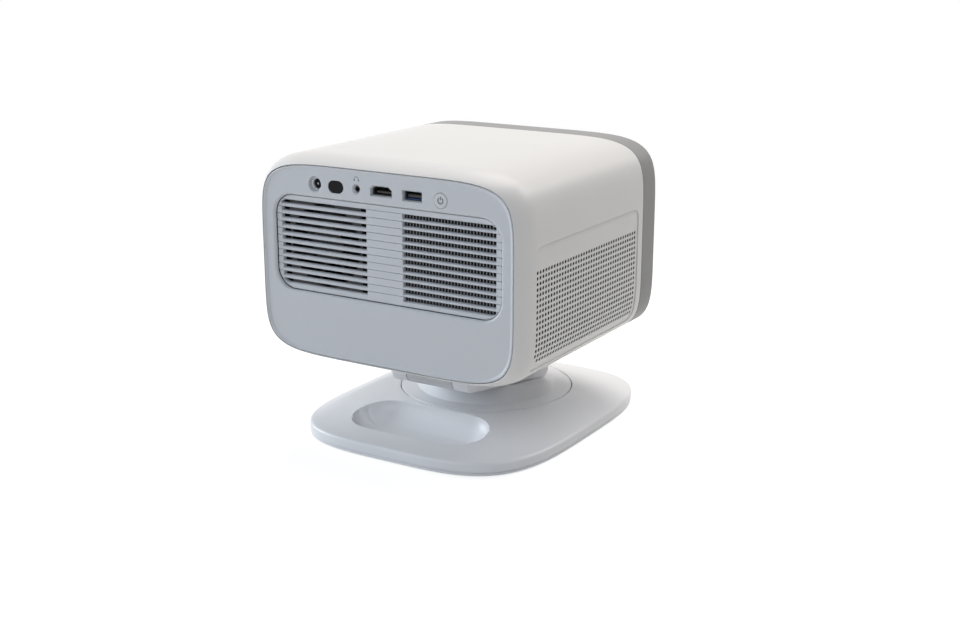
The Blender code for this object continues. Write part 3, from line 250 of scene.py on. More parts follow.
finishes = {
    "satin_white": mouldedPlastic("satinWhiteShell", (0.765, 0.757, 0.745), 0.40),
    "panel_white": mouldedPlastic("coolPanelWhite", (0.592, 0.613, 0.642), 0.36),
    "base_white": mouldedPlastic("standWhite", (0.87, 0.88, 0.90), 0.36),
    "bezel_grey": mouldedPlastic("bezelGrey", (0.252, 0.251, 0.249), 0.46),
    "dark_plastic": mouldedPlastic("matteBlack", (0.018, 0.018, 0.020), 0.50, mottle=0.2),
    "engine_plastic": mouldedPlastic("engineBlack", (0.025, 0.025, 0.027), 0.55, mottle=0.2),
    "driver_black": mouldedPlastic("coneBlack", (0.02, 0.02, 0.02), 0.6, mottle=0.2),
    "gloss_black": tintedGloss("tintedWindow", (0.006, 0.006, 0.007)),
    "socket_steel": turnedMetal("platedSteel", (0.22, 0.22, 0.235), 0.42),
    "steel": turnedMetal("plainSteel", (0.55, 0.55, 0.56), 0.34),
    "painted_bracket": mouldedPlastic("bracketPaint", (0.64, 0.64, 0.65), 0.38),
    # the alloy's colour is darkened past the metal's own tone: painted shade for the parts seen
    # deep through the louvre slots
    "alloy": turnedMetal("extrudedAlloyPaintedShade", (0.15, 0.155, 0.165), 0.50, (60, 60, 900)),
    "board_green": circuitBoard("solderMask"),
    "acetal": mouldedPlastic("acetalRing", (0.72, 0.71, 0.68), 0.42),
    "foot_rubber": softRubber("footRubber", (0.028, 0.028, 0.028)),
    "lens_glass": coatedGlass("coatedGlass", (0.90, 0.95, 1.0)),
}
printInk = mouldedPlastic("greyInk", (0.11, 0.12, 0.135), 0.5, mottle=0.1)
blueInsert = mouldedPlastic("blueInsert", (0.03, 0.07, 0.25), 0.35, mottle=0.1)
tongueGrey = mouldedPlastic("contactGrey", (0.030, 0.029, 0.028), 0.5, mottle=0.15)
speakerCloth = softRubber("speakerCloth", (0.010, 0.010, 0.011))

slotOf = {row["node"]: row["material_slot"] for row in frame["record"]["subparts"]}
for name, obj in nodes.items():
    obj.data.materials.clear()
    obj.data.materials.append(finishes[slotOf[name]])
print("finishes ready")


# Outlines, as lists of 2-D points


def superOutline(halfWidth, halfHeight, exponent, count):
    points = []
    for step in range(count):
        turn = 2 * math.pi * step / count
        across, up = math.cos(turn), math.sin(turn)
        points.append((
            halfWidth * math.copysign(abs(across) ** (2 / exponent), across),
            halfHeight * math.copysign(abs(up) ** (2 / exponent), up),
        ))
    return points


def arcPoints(x, y, radius, start, end, steps):
    turns = [start + (end - start) * step / steps for step in range(steps + 1)]
    return [(x + radius * math.cos(turn), y + radius * math.sin(turn)) for turn in turns]


def roundedBox(left, right, low, high, corner, steps=8):
    half = math.pi / 2
    return (
        arcPoints(right - corner, low + corner, corner, -half, 0, steps)
        + arcPoints(right - corner, high - corner, corner, 0, half, steps)
        + arcPoints(left + corner, high - corner, corner, half, 2 * half, steps)
        + arcPoints(left + corner, low + corner, corner, 2 * half, 3 * half, steps)
    )


def stadium(length, width, steps=20):
    reach, radius = (length - width) / 2, width / 2
    return (arcPoints(reach, 0, radius, -math.pi / 2, math.pi / 2, steps)
            + arcPoints(-reach, 0, radius, math.pi / 2, 3 * math.pi / 2, steps))


def quarter(steps):
    # a quarter round: how far below its top and how far in from its side
    turns = [math.pi / 2 * step / steps for step in range(steps + 1)]
    return [(1 - math.sin(turn), 1 - math.cos(turn)) for turn in turns]


# Mesh making


def shadeMesh(mesh, angle=32):
    mesh.shade_smooth()
    mesh.set_sharp_from_angle(angle=math.radians(angle))


def addObject(name, mesh):
    obj = bpy.data.objects.new(name, mesh)
    scene.collection.objects.link(obj)
    return obj


def fromBmesh(name, bm):
    mesh = bpy.data.meshes.new(name)
    bm.to_mesh(mesh)
    bm.free()
    return addObject(name, mesh)


def skin(name, rings, closed=False, angle=32):
    # a surface over rings; a ring of one point is a pole
    bm = bmesh.new()
    made = [[bm.verts.new(point) for point in ring] for ring in rings]
    pairs = list(zip(made, made[1:]))
    if closed:
        pairs.append((made[-1], made[0]))
    else:
        for ring in (made[0], made[-1]):
            if len(ring) > 2:
                bm.faces.new(ring)
    for first, second in pairs:
        count = max(len(first), len(second))
        for index in range(count):
            after = (index + 1) % count
            corners = [first[index % len(first)], first[after % len(first)],
                       second[after % len(second)], second[index % len(second)]]
            unique = list(dict.fromkeys(corners))
            if len(unique) > 2:
                bm.faces.new(unique)
    bmesh.ops.recalc_face_normals(bm, faces=bm.faces)
    obj = fromBmesh(name, bm)
    shadeMesh(obj.data, angle)
    return obj


def prism(name, outline, low, high):
    # an outline seen from above, between two heights
    return skin(name, [[(x, y, z) for x, y in outline] for z in (low, high)])


def turned(name, profile, centre, axis, closed=False, steps=64, angle=32):
    # profile of (radius, height) spun round an axis through the centre
    def spot(radius, height, turn):
        across, up = radius * math.cos(turn), radius * math.sin(turn)
        x, y, z = {"X": (height, across, up), "Y": (across, height, up),
                   "Z": (across, up, height)}[axis]
        return (centre[0] + x, centre[1] + y, centre[2] + z)

    rings = []
    for radius, height in profile:
        if radius < 1e-7:
            rings.append([spot(0, height, 0)])
        else:
            rings.append([spot(radius, height, 2 * math.pi * i / steps) for i in range(steps)])
    return skin(name, rings, closed, angle)


def facingRear(outline, y, x=0.0, z=0.0):
    return [(x + u, y, z + v) for u, v in outline]


def baked(obj):
    # the mesh with its modifiers done, as a plain mesh on the same object
    graph = bpy.context.evaluated_depsgraph_get()
    mesh = bpy.data.meshes.new_from_object(obj.evaluated_get(graph))
    old = obj.data
    obj.modifiers.clear()
    obj.data = mesh
    bpy.data.meshes.remove(old)
    return obj


def cutAway(obj, cutters, operation="DIFFERENCE", angle=24):
    for cutter in cutters:
        step = obj.modifiers.new(cutter.name, "BOOLEAN")
        step.operation, step.solver, step.object = operation, "EXACT", cutter
    baked(obj)
    for cutter in cutters:
        bpy.data.objects.remove(cutter)
    shadeMesh(obj.data, angle)
    step = obj.modifiers.new("faceWeights", "WEIGHTED_NORMAL")
    step.keep_sharp = True
    return baked(obj)


def flared(name, outlineAt, x, z, faceY, backY, lip):
    # a hole cutter whose mouth is rounded where it meets the face
    way = 1 if backY < faceY else -1
    rings = [facingRear(outlineAt(lip), faceY + way * 0.01, x, z)]
    for aside, deep in quarter(4):
        rings.append(facingRear(outlineAt(lip * aside), faceY - way * lip * deep, x, z))
    rings.append(facingRear(outlineAt(0), backY, x, z))
    return skin(name, rings)


def place(obj, body, slot=None, *replaces, look=None):
    # the finish, the moving body, the record's slot and the nodes a piece stands for
    if not obj.data.materials:
        obj.data.materials.append(look or finishes[slot])
    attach(obj, body)
    if replaces:
        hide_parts(*replaces)
    return obj


# Geometry node trees


class FieldTree(Tree):
    def __init__(self, name, sockets):
        self.tree = bpy.data.node_groups.new(name, "GeometryNodeTree")
        face = self.tree.interface
        face.new_socket("Geometry", in_out="OUTPUT", socket_type="NodeSocketGeometry")
        face.new_socket("Geometry", in_out="INPUT", socket_type="NodeSocketGeometry")
        for label, kind in sockets:
            face.new_socket(label, in_out="INPUT", socket_type="NodeSocket" + kind)
        self.inlet = self.node("NodeGroupInput").outputs
        self.outlet = self.node("NodeGroupOutput")

    def value(self, label):
        return Wire(self.tree, self.inlet[label])

    def shape(self, label):
        node = self.node("GeometryNodeObjectInfo", {"Object": self.inlet[label]})
        return node.outputs["Geometry"]

    def ends(self, geometry):
        # realized and given its finish, because instances are lost in an export
        real = self.node("GeometryNodeRealizeInstances", {"Geometry": geometry})
        done = self.node("GeometryNodeSetMaterial", {
            "Geometry": real.outputs[0], "Material": self.inlet["Material"],
        })
        feed(self.tree, self.outlet.inputs[0], done.outputs[0])


def grown(name, start, field, values, angle=32):
    # runs a tree on an object and keeps the result as a plain mesh
    step = start.modifiers.new(name, "NODES")
    step.node_group = field.tree
    for item in field.tree.interface.items_tree:
        if item.in_out == "INPUT" and item.name in values:
            step[item.identifier] = values[item.name]
    baked(start)
    start.name = start.data.name = name
    shadeMesh(start.data, angle)
    return start


# Camera at the photograph's place

cameraView = {
    "place": (-0.52496, 0.84740, 0.35596),
    "ahead": (0.50467, -0.82064, -0.26807),
    "right": (-0.85181, -0.52384, 0.0),
    "lens": 53.18,
    "sensor": 36.0,
}
lensData = bpy.data.cameras.new("photoCamera")
lensData.lens, lensData.sensor_width = cameraView["lens"], cameraView["sensor"]
lensData.clip_start, lensData.clip_end = 0.01, 50
photoCamera = bpy.data.objects.new("photoCamera", lensData)
scene.collection.objects.link(photoCamera)
ahead, right = Vector(cameraView["ahead"]).normalized(), Vector(cameraView["right"]).normalized()
turn = Matrix((right, right.cross(ahead), -ahead)).transposed()
photoCamera.matrix_world = Matrix.Translation(cameraView["place"]) @ turn.to_4x4()
scene.camera = photoCamera


# Head shell, with its long soft rear edge


def headRing(y, inset, drop=0.0, count=None):
    outline = superOutline(head["halfWidth"] - inset, head["halfHeight"] - inset,
                           head["exponent"], count or head["points"])
    return [(x, y, head["middle"] - drop + z) for x, z in outline]


def flank(height, inset):
    # a point on the side at a height above the head's middle
    turn = math.asin((abs(height) / head["halfHeight"]) ** (head["exponent"] / 2))
    power = 2 / head["exponent"]
    return (
        (head["halfWidth"] - inset) * math.cos(turn) ** power,
        head["middle"] + math.copysign(
            (head["halfHeight"] - inset) * math.sin(turn) ** power, height),
    )


speaker = {
    "top": 0.0242, "bottom": -0.0585, "rear": 0.0180, "front": 0.1655, "corner": 0.0070,
    "sink": 0.0007, "thickness": 0.0004, "windowGap": 0.0002,
    "columns": 39, "rows": 17, "pitch": 0.003676, "firstColumn": 0.0215, "topRow": 0.0076,
    "holeRadius": 0.00130, "holeSides": 16,
}


def flankRows(grow):
    corner = speaker["corner"] + grow
    top, bottom = speaker["top"] + grow, speaker["bottom"] - grow
    bends = quarter(8)
    rows = [(top - corner * inward, corner * draw) for draw, inward in bends]
    straight = top - bottom - 2 * corner
    rows += [(top - corner - straight * step / 30, 0) for step in range(1, 30)]
    rows += [(bottom + corner * inward, corner * draw) for draw, inward in reversed(bends)]
    return rows


def flankPatch(name, side, outer, inner, grow):
    rear = head["rear"] - speaker["rear"] + grow
    front = head["rear"] - speaker["front"] - grow
    rings = []
    for height, draw in flankRows(grow):
        outerX, outerZ = flank(height, outer)
        innerX, innerZ = flank(height, inner)
        rings.append([
            (side * outerX, front + draw, outerZ), (side * outerX, rear - draw, outerZ),
            (side * innerX, rear - draw, innerZ), (side * innerX, front + draw, innerZ),
        ])
    return skin(name, rings)


def makeHeadShell():
    rear, inset, drop = head["rear"], head["edgeInset"], head["edgeDrop"]
    rings = []
    steps = 16
    for step in range(steps + 1):
        share = step / steps
        rings.append(headRing(rear - head["edgeDepth"] * (1 - share),
                              inset * share ** 2, drop * share ** 2))
    ledge = 0.0022
    seat = fieldY - 0.0024
    # a small round turns the edge inwards to the seam
    small = head["edgeRound"]
    rings[-1] = headRing(rear - small * 0.6, inset - small * 0.1, drop)
    rings += [headRing(rear - small * (1 - math.sin(math.pi * share)) * 0.6,
                       inset + small * (share - 0.1), drop) for share in (0.2, 0.4, 0.6)]
    rings += [
        headRing(rear - small * 0.4, inset + 0.00045, drop),
        headRing(seat, inset + 0.0005, drop),
        headRing(seat, inset + ledge, drop),
        headRing(seat - ledge, inset + ledge, drop),
        headRing(rear - head["edgeDepth"], head["wall"]),
        headRing(bezelHigh.y + 0.0003, head["wall"]),
        headRing(bezelHigh.y + 0.0003, 0.0003),
        headRing(bezelHigh.y + 0.0006, 0),
    ]
    shell = skin("headShell", rings, closed=True)
    cutters = [flankPatch("window" + word, side, -0.01, 0.012, speaker["windowGap"])
               for side, word in ((1, "Left"), (-1, "Right"))]
    low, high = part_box("hinge_bracket")
    knuckle = {"halfWidth": 0.0195, "reach": 0.0075}
    middleY = (low.y + high.y) / 2
    slot = roundedBox(-knuckle["halfWidth"], knuckle["halfWidth"], middleY - knuckle["reach"],
                      middleY + knuckle["reach"], 0.0006, 3)
    cutters.append(prism("knuckleSlot", slot, shellLow.z - 0.01, shellLow.z + 0.006))
    cutAway(shell, cutters)
    return place(shell, "head", "satin_white", "main_shell")


headShell = makeHeadShell()
print("head shell made:", len(headShell.data.polygons), "faces")


# Perforated speaker panels: a flat field of holes, bent round the flank


def holeTile():
    # one square with a hole, its edge points shared with its neighbours
    half, sides = speaker["pitch"] / 2, speaker["holeSides"]
    bm = bmesh.new()
    rings = {}
    for level, depth in (("top", 0.0), ("under", -speaker["thickness"])):
        square, circle = [], []
        for step in range(sides):
            # evenly spaced along the square's edge
            side, along = divmod(step * 4 / sides, 1)
            edge = {0: (half, half * (2 * along - 1)), 1: (half * (1 - 2 * along), half),
                    2: (-half, half * (1 - 2 * along)), 3: (half * (2 * along - 1), -half)}
            x, y = edge[int(side)]
            square.append(bm.verts.new((x, y, depth)))
            turn = math.atan2(y, x)
            circle.append(bm.verts.new((speaker["holeRadius"] * math.cos(turn),
                                        speaker["holeRadius"] * math.sin(turn), depth)))
        rings[level] = (square, circle)
    for index in range(sides):
        after = (index + 1) % sides
        topSquare, topCircle = rings["top"]
        lowSquare, lowCircle = rings["under"]
        bm.faces.new((topSquare[index], topSquare[after], topCircle[after], topCircle[index]))
        bm.faces.new((topCircle[index], topCircle[after], lowCircle[after], lowCircle[index]))
        bm.faces.new((lowCircle[index], lowCircle[after], lowSquare[after], lowSquare[index]))
    return fromBmesh("holeTile", bm)


def panelBorder():
    # the plain band round the field of holes, flat, with a rolled outer edge
    pitch, columns, rows = speaker["pitch"], speaker["columns"], speaker["rows"]
    perTile = speaker["holeSides"] // 4
    rear = head["rear"] - speaker["firstColumn"] + pitch / 2
    front = rear - columns * pitch
    top = speaker["topRow"] + pitch / 2
    bottom = top - rows * pitch
    field = []
    for a, b, count in (((front, bottom), (rear, bottom), columns),
                        ((rear, bottom), (rear, top), rows),
                        ((rear, top), (front, top), columns),
                        ((front, top), (front, bottom), rows)):
        for step in range(count * perTile):
            share = step / (count * perTile)
            field.append((a[0] + (b[0] - a[0]) * share, a[1] + (b[1] - a[1]) * share))
    outRear, outFront = head["rear"] - speaker["rear"], head["rear"] - speaker["front"]
    outLow, outHigh, corner = speaker["bottom"], speaker["top"], speaker["corner"]

    def outer(u, v, inset):
        # the outline's point that faces a point on the field's edge
        su = (u - front) / (rear - front)
        sv = (v - bottom) / (top - bottom)
        x = outFront + inset + (outRear - outFront - 2 * inset) * su
        y = outLow + inset + (outHigh - outLow - 2 * inset) * sv
        bend = corner - inset
        cx = min(max(x, outFront + inset + bend), outRear - inset - bend)
        cy = min(max(y, outLow + inset + bend), outHigh - inset - bend)
        dx, dy = x - cx, y - cy
        if abs(dx) > 1e-9 and abs(dy) > 1e-9:
            # square corner moved on to the arc, kept in the same order
            turn = math.atan2(dy, dx)
            x, y = cx + bend * math.cos(turn), cy + bend * math.sin(turn)
        return x, y

    bm = bmesh.new()
    levels = []
    lip = 0.0004
    for share, depth, inset in ((0, 0, lip), (0.25, 0, lip), (0.5, 0, lip), (0.75, 0, lip),
                                (1, 0, lip), (1, -lip * 0.3, lip * 0.3), (1, -lip, 0),
                                (1, -speaker["thickness"], 0), (0.5, -speaker["thickness"], 0),
                                (0, -speaker["thickness"], 0)):
        ring = []
        for u, v in field:
            x, y = outer(u, v, inset)
            ring.append(bm.verts.new((u + (x - u) * share, v + (y - v) * share, depth)))
        levels.append(ring)
    count = len(field)
    for first, second in zip(levels, levels[1:]):
        for index in range(count):
            after = (index + 1) % count
            bm.faces.new((first[index], second[index], second[after], first[after]))
    # a plain square where the lowest row has no hole
    size = speaker["pitch"] / perTile
    for depth, flip in ((0, 1), (-speaker["thickness"], -1)):
        grid = [[bm.verts.new((rear - pitch + size * i, bottom + size * j, depth))
                 for i in range(perTile + 1)] for j in range(perTile + 1)]
        for j in range(perTile):
            for i in range(perTile):
                quad = [grid[j][i], grid[j][i + 1], grid[j + 1][i + 1], grid[j + 1][i]]
                bm.faces.new(quad if flip > 0 else quad[::-1])
    return fromBmesh("panelBorder", bm)


def perforationTree():
    field = FieldTree("perforatedPanel", [
        ("Tile", "Object"), ("Columns", "Int"), ("Rows", "Int"), ("Pitch", "Float"),
        ("First Column", "Float"), ("Top Row", "Float"), ("Blank", "Int"),
        ("Half Width", "Float"), ("Half Height", "Float"), ("Exponent", "Float"),
        ("Middle", "Float"), ("Sink", "Float"), ("Side", "Float"), ("Material", "Material"),
    ])
    pitch, columns, rows = field.value("Pitch"), field.value("Columns"), field.value("Rows")
    grid = field.node("GeometryNodeMeshGrid", {
        "Vertices X": field.inlet["Columns"], "Vertices Y": field.inlet["Rows"],
        "Size X": pitch * (columns - 1), "Size Y": pitch * (rows - 1),
    })
    index = Wire(field.tree, field.node("GeometryNodeInputIndex").outputs[0])
    spare = field.node("FunctionNodeCompare", {"A": index, "B": field.inlet["Blank"]},
                       data_type="INT", operation="EQUAL")
    points = field.node("GeometryNodeDeleteGeometry", {
        "Geometry": grid.outputs["Mesh"], "Selection": spare.outputs[0],
    }, domain="POINT")
    tiles = field.node("GeometryNodeInstanceOnPoints", {
        "Points": points.outputs[0], "Instance": field.shape("Tile"),
    })
    real = field.node("GeometryNodeRealizeInstances", {"Geometry": tiles.outputs[0]})
    centre = field.node("ShaderNodeCombineXYZ", {
        "X": field.value("First Column") - pitch * (columns - 1) / 2,
        "Y": field.value("Top Row") - pitch * (rows - 1) / 2,
    })
    moved = field.node("GeometryNodeTransform", {
        "Geometry": real.outputs[0], "Translation": centre.outputs[0],
    })
    both = field.node("GeometryNodeJoinGeometry")
    field.tree.links.new(field.inlet["Geometry"], both.inputs[0])
    field.tree.links.new(moved.outputs[0], both.inputs[0])
    merged = field.node("GeometryNodeMergeByDistance", {
        "Geometry": both.outputs[0], "Distance": 0.00002,
    })
    spot = field.node("GeometryNodeInputPosition")
    flat = field.node("ShaderNodeSeparateXYZ", {0: spot.outputs[0]})
    along, height, depth = (Wire(field.tree, flat.outputs[i]) for i in range(3))
    halfWidth, halfHeight = field.value("Half Width"), field.value("Half Height")
    power, side = field.value("Exponent"), field.value("Side")
    rise = height.absolute() / halfHeight
    across = halfWidth * (1 - rise ** power) ** (1 / power)
    slope = field.node("ShaderNodeCombineXYZ", {
        "X": (across / halfWidth) ** (power - 1) / halfWidth,
        "Z": height.sign() * rise ** (power - 1) / halfHeight,
    })
    normal = field.node("ShaderNodeVectorMath", {0: slope.outputs[0]}, operation="NORMALIZE")
    outward = field.node("ShaderNodeSeparateXYZ", {0: normal.outputs[0]})
    proud = depth - field.value("Sink")
    bent = field.node("ShaderNodeCombineXYZ", {
        "X": side * (across + proud * Wire(field.tree, outward.outputs["X"])),
        "Y": along,
        "Z": field.value("Middle") + height + proud * Wire(field.tree, outward.outputs["Z"]),
    })
    curved = field.node("GeometryNodeSetPosition", {
        "Geometry": merged.outputs[0], "Position": bent.outputs[0],
    })
    mirrored = field.node("FunctionNodeCompare", {"A": side, "B": 0.0},
                          data_type="FLOAT", operation="GREATER_THAN")
    turnedOut = field.node("GeometryNodeFlipFaces", {
        "Mesh": curved.outputs[0], "Selection": mirrored.outputs[0],
    })
    field.ends(turnedOut.outputs[0])
    return field


tile = holeTile()
perforations = perforationTree()
for side, word in ((1, "Left"), (-1, "Right")):
    panel = grown("speakerPanel" + word, panelBorder(), perforations, {
        "Tile": tile, "Columns": speaker["columns"], "Rows": speaker["rows"],
        "Pitch": speaker["pitch"], "First Column": head["rear"] - speaker["firstColumn"],
        "Top Row": speaker["topRow"], "Blank": (speaker["columns"] - 1) * speaker["rows"],
        "Half Width": head["halfWidth"], "Half Height": head["halfHeight"],
        "Exponent": head["exponent"], "Middle": head["middle"], "Sink": speaker["sink"],
        "Side": float(side), "Material": finishes["satin_white"],
    })
    place(panel, "head", "satin_white", "speaker_grille_" + word.lower())
    cloth = flankPatch("speakerCloth" + word, side, speaker["sink"] + 0.0008,
                       speaker["sink"] + 0.0012, -0.0008)
    place(cloth, "head", look=speakerCloth)
bpy.data.objects.remove(tile)
print("speaker panels made:", len(panel.data.polygons), "faces each")


# Socket panel

sockets = {
    # across, height over the head's middle, then its own sizes
    "dc": (0.0540, 0.0520, 0.0053),
    "window": (0.0370, 0.0517, 0.0125, 0.0084),
    "audio": (0.0199, 0.0519, 0.0034),
    "video": (0.0005, 0.0523, 0.0171, 0.0070),
    "data": (-0.0237, 0.0516, 0.0153, 0.0071),
    "button": (-0.0453, 0.0510, 0.0049),
    "videoTaper": (0.0027, 0.0020), "wall": 0.0004, "setBack": 0.0028,
}
louvre = {
    "width": 0.1790, "top": 0.0430, "bottom": -0.0229, "corner": 0.0145, "sink": 0.0021,
    "depth": 0.0033, "pitch": 0.0050, "slotHeight": 0.0024, "count": 12, "topRow": 0.0375,
    "outer": 0.0848, "inner": 0.0145, "gap": 0.0001, "edge": 0.0011,
    "lipOver": 0.0005, "lipUnder": 0.0017, "lipSide": 0.0004, "taller": 0.0005, "cut": 0.0035,
    "grooveWidth": 0.00045, "grooveDepth": 0.0007, "bead": 0.0009,
}


def socketSpot(name):
    x, height = sockets[name][:2]
    return x, head["middle"] + height


def circleAt(radius, steps=48):
    return lambda grow: arcPoints(0, 0, radius + grow, 0, 2 * math.pi * (1 - 1 / steps), steps - 1)


def videoOutline(grow):
    width, height = sockets["video"][2:]
    across, down = sockets["videoTaper"]
    half, tall = width / 2 + grow, height / 2 + grow
    return [(-half, -tall), (half, -tall), (half, tall - down), (half - across, tall),
            (-half + across, tall), (-half, tall - down)]


def dataOutline(grow):
    width, height = sockets["data"][2:]
    return roundedBox(-width / 2 - grow, width / 2 + grow, -height / 2 - grow,
                      height / 2 + grow, 0.0004, 2)


def windowOutline(grow):
    width, height = sockets["window"][2:]
    return stadium(width + 2 * grow, height + 2 * grow, 24)


def louvreOutline(grow):
    return roundedBox(-louvre["width"] / 2 - grow, louvre["width"] / 2 + grow,
                      louvre["bottom"] - grow, louvre["top"] + grow, louvre["corner"] + grow, 14)


def makeRearPanel():
    inset, drop, rear = head["edgeInset"] + head["seam"], head["edgeDrop"], head["rear"]
    edge = 0.0005
    rings = [headRing(fieldY - 0.0020, inset, drop), headRing(rear - edge, inset, drop)]
    rings += [headRing(rear - edge * down, inset + edge * inward, drop)
              for down, inward in quarter(4)[1:]]
    # the dished rim, then the flat field
    for share, depth in ((0.15, 0.08), (0.45, 0.45), (0.75, 0.85), (0.9, 0.97), (1, 1)):
        rings.append(headRing(rear - head["dish"] * depth, inset + edge + 0.0018 * share, drop))
    panel = skin("rearPanel", rings)
    back = fieldY - 0.02
    outlines = {
        # outline and lip of each hole
        "dc": (circleAt(sockets["dc"][2]), 0.0004),
        "window": (windowOutline, 0.0004),
        "audio": (circleAt(sockets["audio"][2]), 0.0003),
        "video": (videoOutline, 0.0005),
        "data": (dataOutline, 0.0005),
        "button": (circleAt(sockets["button"][2] + 0.00025), 0.0002),
    }
    cutters = [flared(name + "Hole", outline, *socketSpot(name), fieldY, back, lip)
               for name, (outline, lip) in outlines.items()]
    cutters.append(flared("louvreHole", louvreOutline, 0, head["middle"], fieldY, back, 0.0020))
    cutAway(panel, cutters)
    return place(panel, "head", "panel_white", "rear_panel")


rearPanel = makeRearPanel()
print("rear panel made:", len(rearPanel.data.polygons), "faces")


# Louvres: one slotted plate, its slots and plank grooves repeated down the field


def louvrePlate():
    face, edge = fieldY - louvre["sink"], louvre["edge"]
    rings = [facingRear(louvreOutline(-louvre["gap"]), face - louvre["depth"], 0, head["middle"])]
    rings += [facingRear(louvreOutline(-louvre["gap"] - edge * inward), face - edge * down,
                         0, head["middle"]) for down, inward in quarter(5)]
    return skin("rearLouvres", rings)


def slotOutline(cutTop=0.0, cutLow=0.0, taller=0.0):
    half, slant = louvre["slotHeight"] / 2, 0.0012

    def outline(share):
        # anticlockwise, the outer end slanted where the panel's corner comes in;
        # the mouth is widest below, over the rounded top of the next slat
        side = louvre["lipSide"] * share
        left, right = louvre["inner"] - side, louvre["outer"] + side
        low = -half - taller - (louvre["lipUnder"] - taller) * share
        high = half + louvre["lipOver"] * share
        return [(left, low), (right - cutLow, low), (right, low + (slant if cutLow else 0.0)),
                (right, high - (slant if cutTop else 0.0)), (right - cutTop, high), (left, high)]
    return outline


def slotCutter(name, outlineAt, side, row):
    face = fieldY - louvre["sink"]
    z = head["middle"] + louvre["topRow"] - louvre["pitch"] * row

    def mirrored(share):
        return [(side * u, v) for u, v in outlineAt(share)]
    rings = [facingRear(mirrored(1), face + 0.004, 0, z)]
    rings += [facingRear(mirrored(aside), face - louvre["lipUnder"] * deep, 0, z)
              for aside, deep in quarter(6)]
    rings.append(facingRear(mirrored(0), face - louvre["depth"] - 0.002, 0, z))
    return skin(name, rings)


def joined(name, objects):
    bm = bmesh.new()
    for obj in objects:
        bm.from_mesh(obj.data)
        bpy.data.objects.remove(obj)
    return fromBmesh(name, bm)


def grooveCutter():
    face, width, deep = fieldY - louvre["sink"], louvre["grooveWidth"] / 2, louvre["grooveDepth"]
    # between the planks, just over the first slot
    z = head["middle"] + louvre["topRow"] + louvre["slotHeight"] / 2 + louvre["lipOver"] * 0.5
    reach = louvre["width"] / 2
    wedge = [(face + 0.002, z - width), (face + 0.002, z + width), (face - 0.0001, z + width),
             (face - deep, z), (face - 0.0001, z - width)]
    parts = [skin("wedge", [[(x, y, up) for y, up in wedge] for x in (-reach, reach)])]
    for side in (-1, 1):
        bead = louvre["bead"]
        diamond = [(side * reach + u * bead, v * bead) for u, v in
                   ((-1.6, 0), (0, -1), (1.6, 0), (0, 1))]
        parts.append(skin("bead", [
            facingRear(diamond, face + 0.002, 0, z), facingRear(diamond, face - 0.0012, 0, z),
        ]))
    return joined("grooveCutter", parts)


def louvreTree():
    field = FieldTree("louvreSlots", [
        ("Slot", "Object"), ("End Slots", "Object"), ("Groove", "Object"), ("Count", "Int"),
        ("Pitch", "Float"), ("Material", "Material"),
    ])
    step = field.node("ShaderNodeCombineXYZ", {"Z": 0 - field.value("Pitch")})

    def repeated(shape, count, start):
        line = field.node("GeometryNodeMeshLine", {
            "Count": count, "Start Location": start, "Offset": step.outputs[0],
        })
        made = field.node("GeometryNodeInstanceOnPoints", {
            "Points": line.outputs[0], "Instance": field.shape(shape),
        })
        real = field.node("GeometryNodeRealizeInstances", {"Geometry": made.outputs[0]})
        return real.outputs[0]

    def minus(body, cutter):
        # a groove and the beads at its ends overlap, hence the self test
        node = field.node("GeometryNodeMeshBoolean", {"Mesh 1": body, "Self Intersection": True},
                          operation="DIFFERENCE", solver="EXACT")
        field.tree.links.new(cutter, node.inputs["Mesh 2"])
        return node.outputs[0]

    middle = repeated("Slot", field.value("Count") - 2, step.outputs[0])
    grooves = repeated("Groove", field.inlet["Count"], (0.0, 0.0, 0.0))
    plate = minus(field.inlet["Geometry"], middle)
    plate = minus(plate, field.shape("End Slots"))
    field.ends(minus(plate, grooves))
    return field


def makeLouvres():
    last = louvre["count"] - 1
    sides = (1, -1)
    taller = {1: 0.0, -1: louvre["taller"]}

    def pair(cutTop, cutLow, row):
        return [slotCutter("slot", slotOutline(cutTop, cutLow, taller[side]), side, row)
                for side in sides]
    slot = joined("slotPair", pair(0, 0, 0))
    ends = joined("endSlots", pair(louvre["cut"], 0, 0) + pair(0, louvre["cut"], last))
    groove = grooveCutter()
    plate = grown("rearLouvres", louvrePlate(), louvreTree(), {
        "Slot": slot, "End Slots": ends, "Groove": groove, "Count": louvre["count"],
        "Pitch": louvre["pitch"], "Material": finishes["panel_white"],
    }, 24)
    for obj in (slot, ends, groove):
        bpy.data.objects.remove(obj)
    step = plate.modifiers.new("faceWeights", "WEIGHTED_NORMAL")
    step.keep_sharp = True
    baked(plate)
    return place(plate, "head", "panel_white", "rear_grille")


rearLouvres = makeLouvres()
print("louvres made:", len(rearLouvres.data.polygons), "faces")


# Sockets, window and button


def roundSocket(name, profiles):
    x, z = socketSpot(name)
    for piece, slot, replaces, profile, closed in profiles:
        made = turned(piece, profile, (x, fieldY, z), "Y", closed, 48)
        place(made, "head", slot, *replaces)


def layered(name, outline, steps):
    # a socket's outline, grown and set below the field step by step
    x, z = socketSpot(name)
    return [facingRear(outline(grow), fieldY - depth, x, z) for grow, depth in steps]


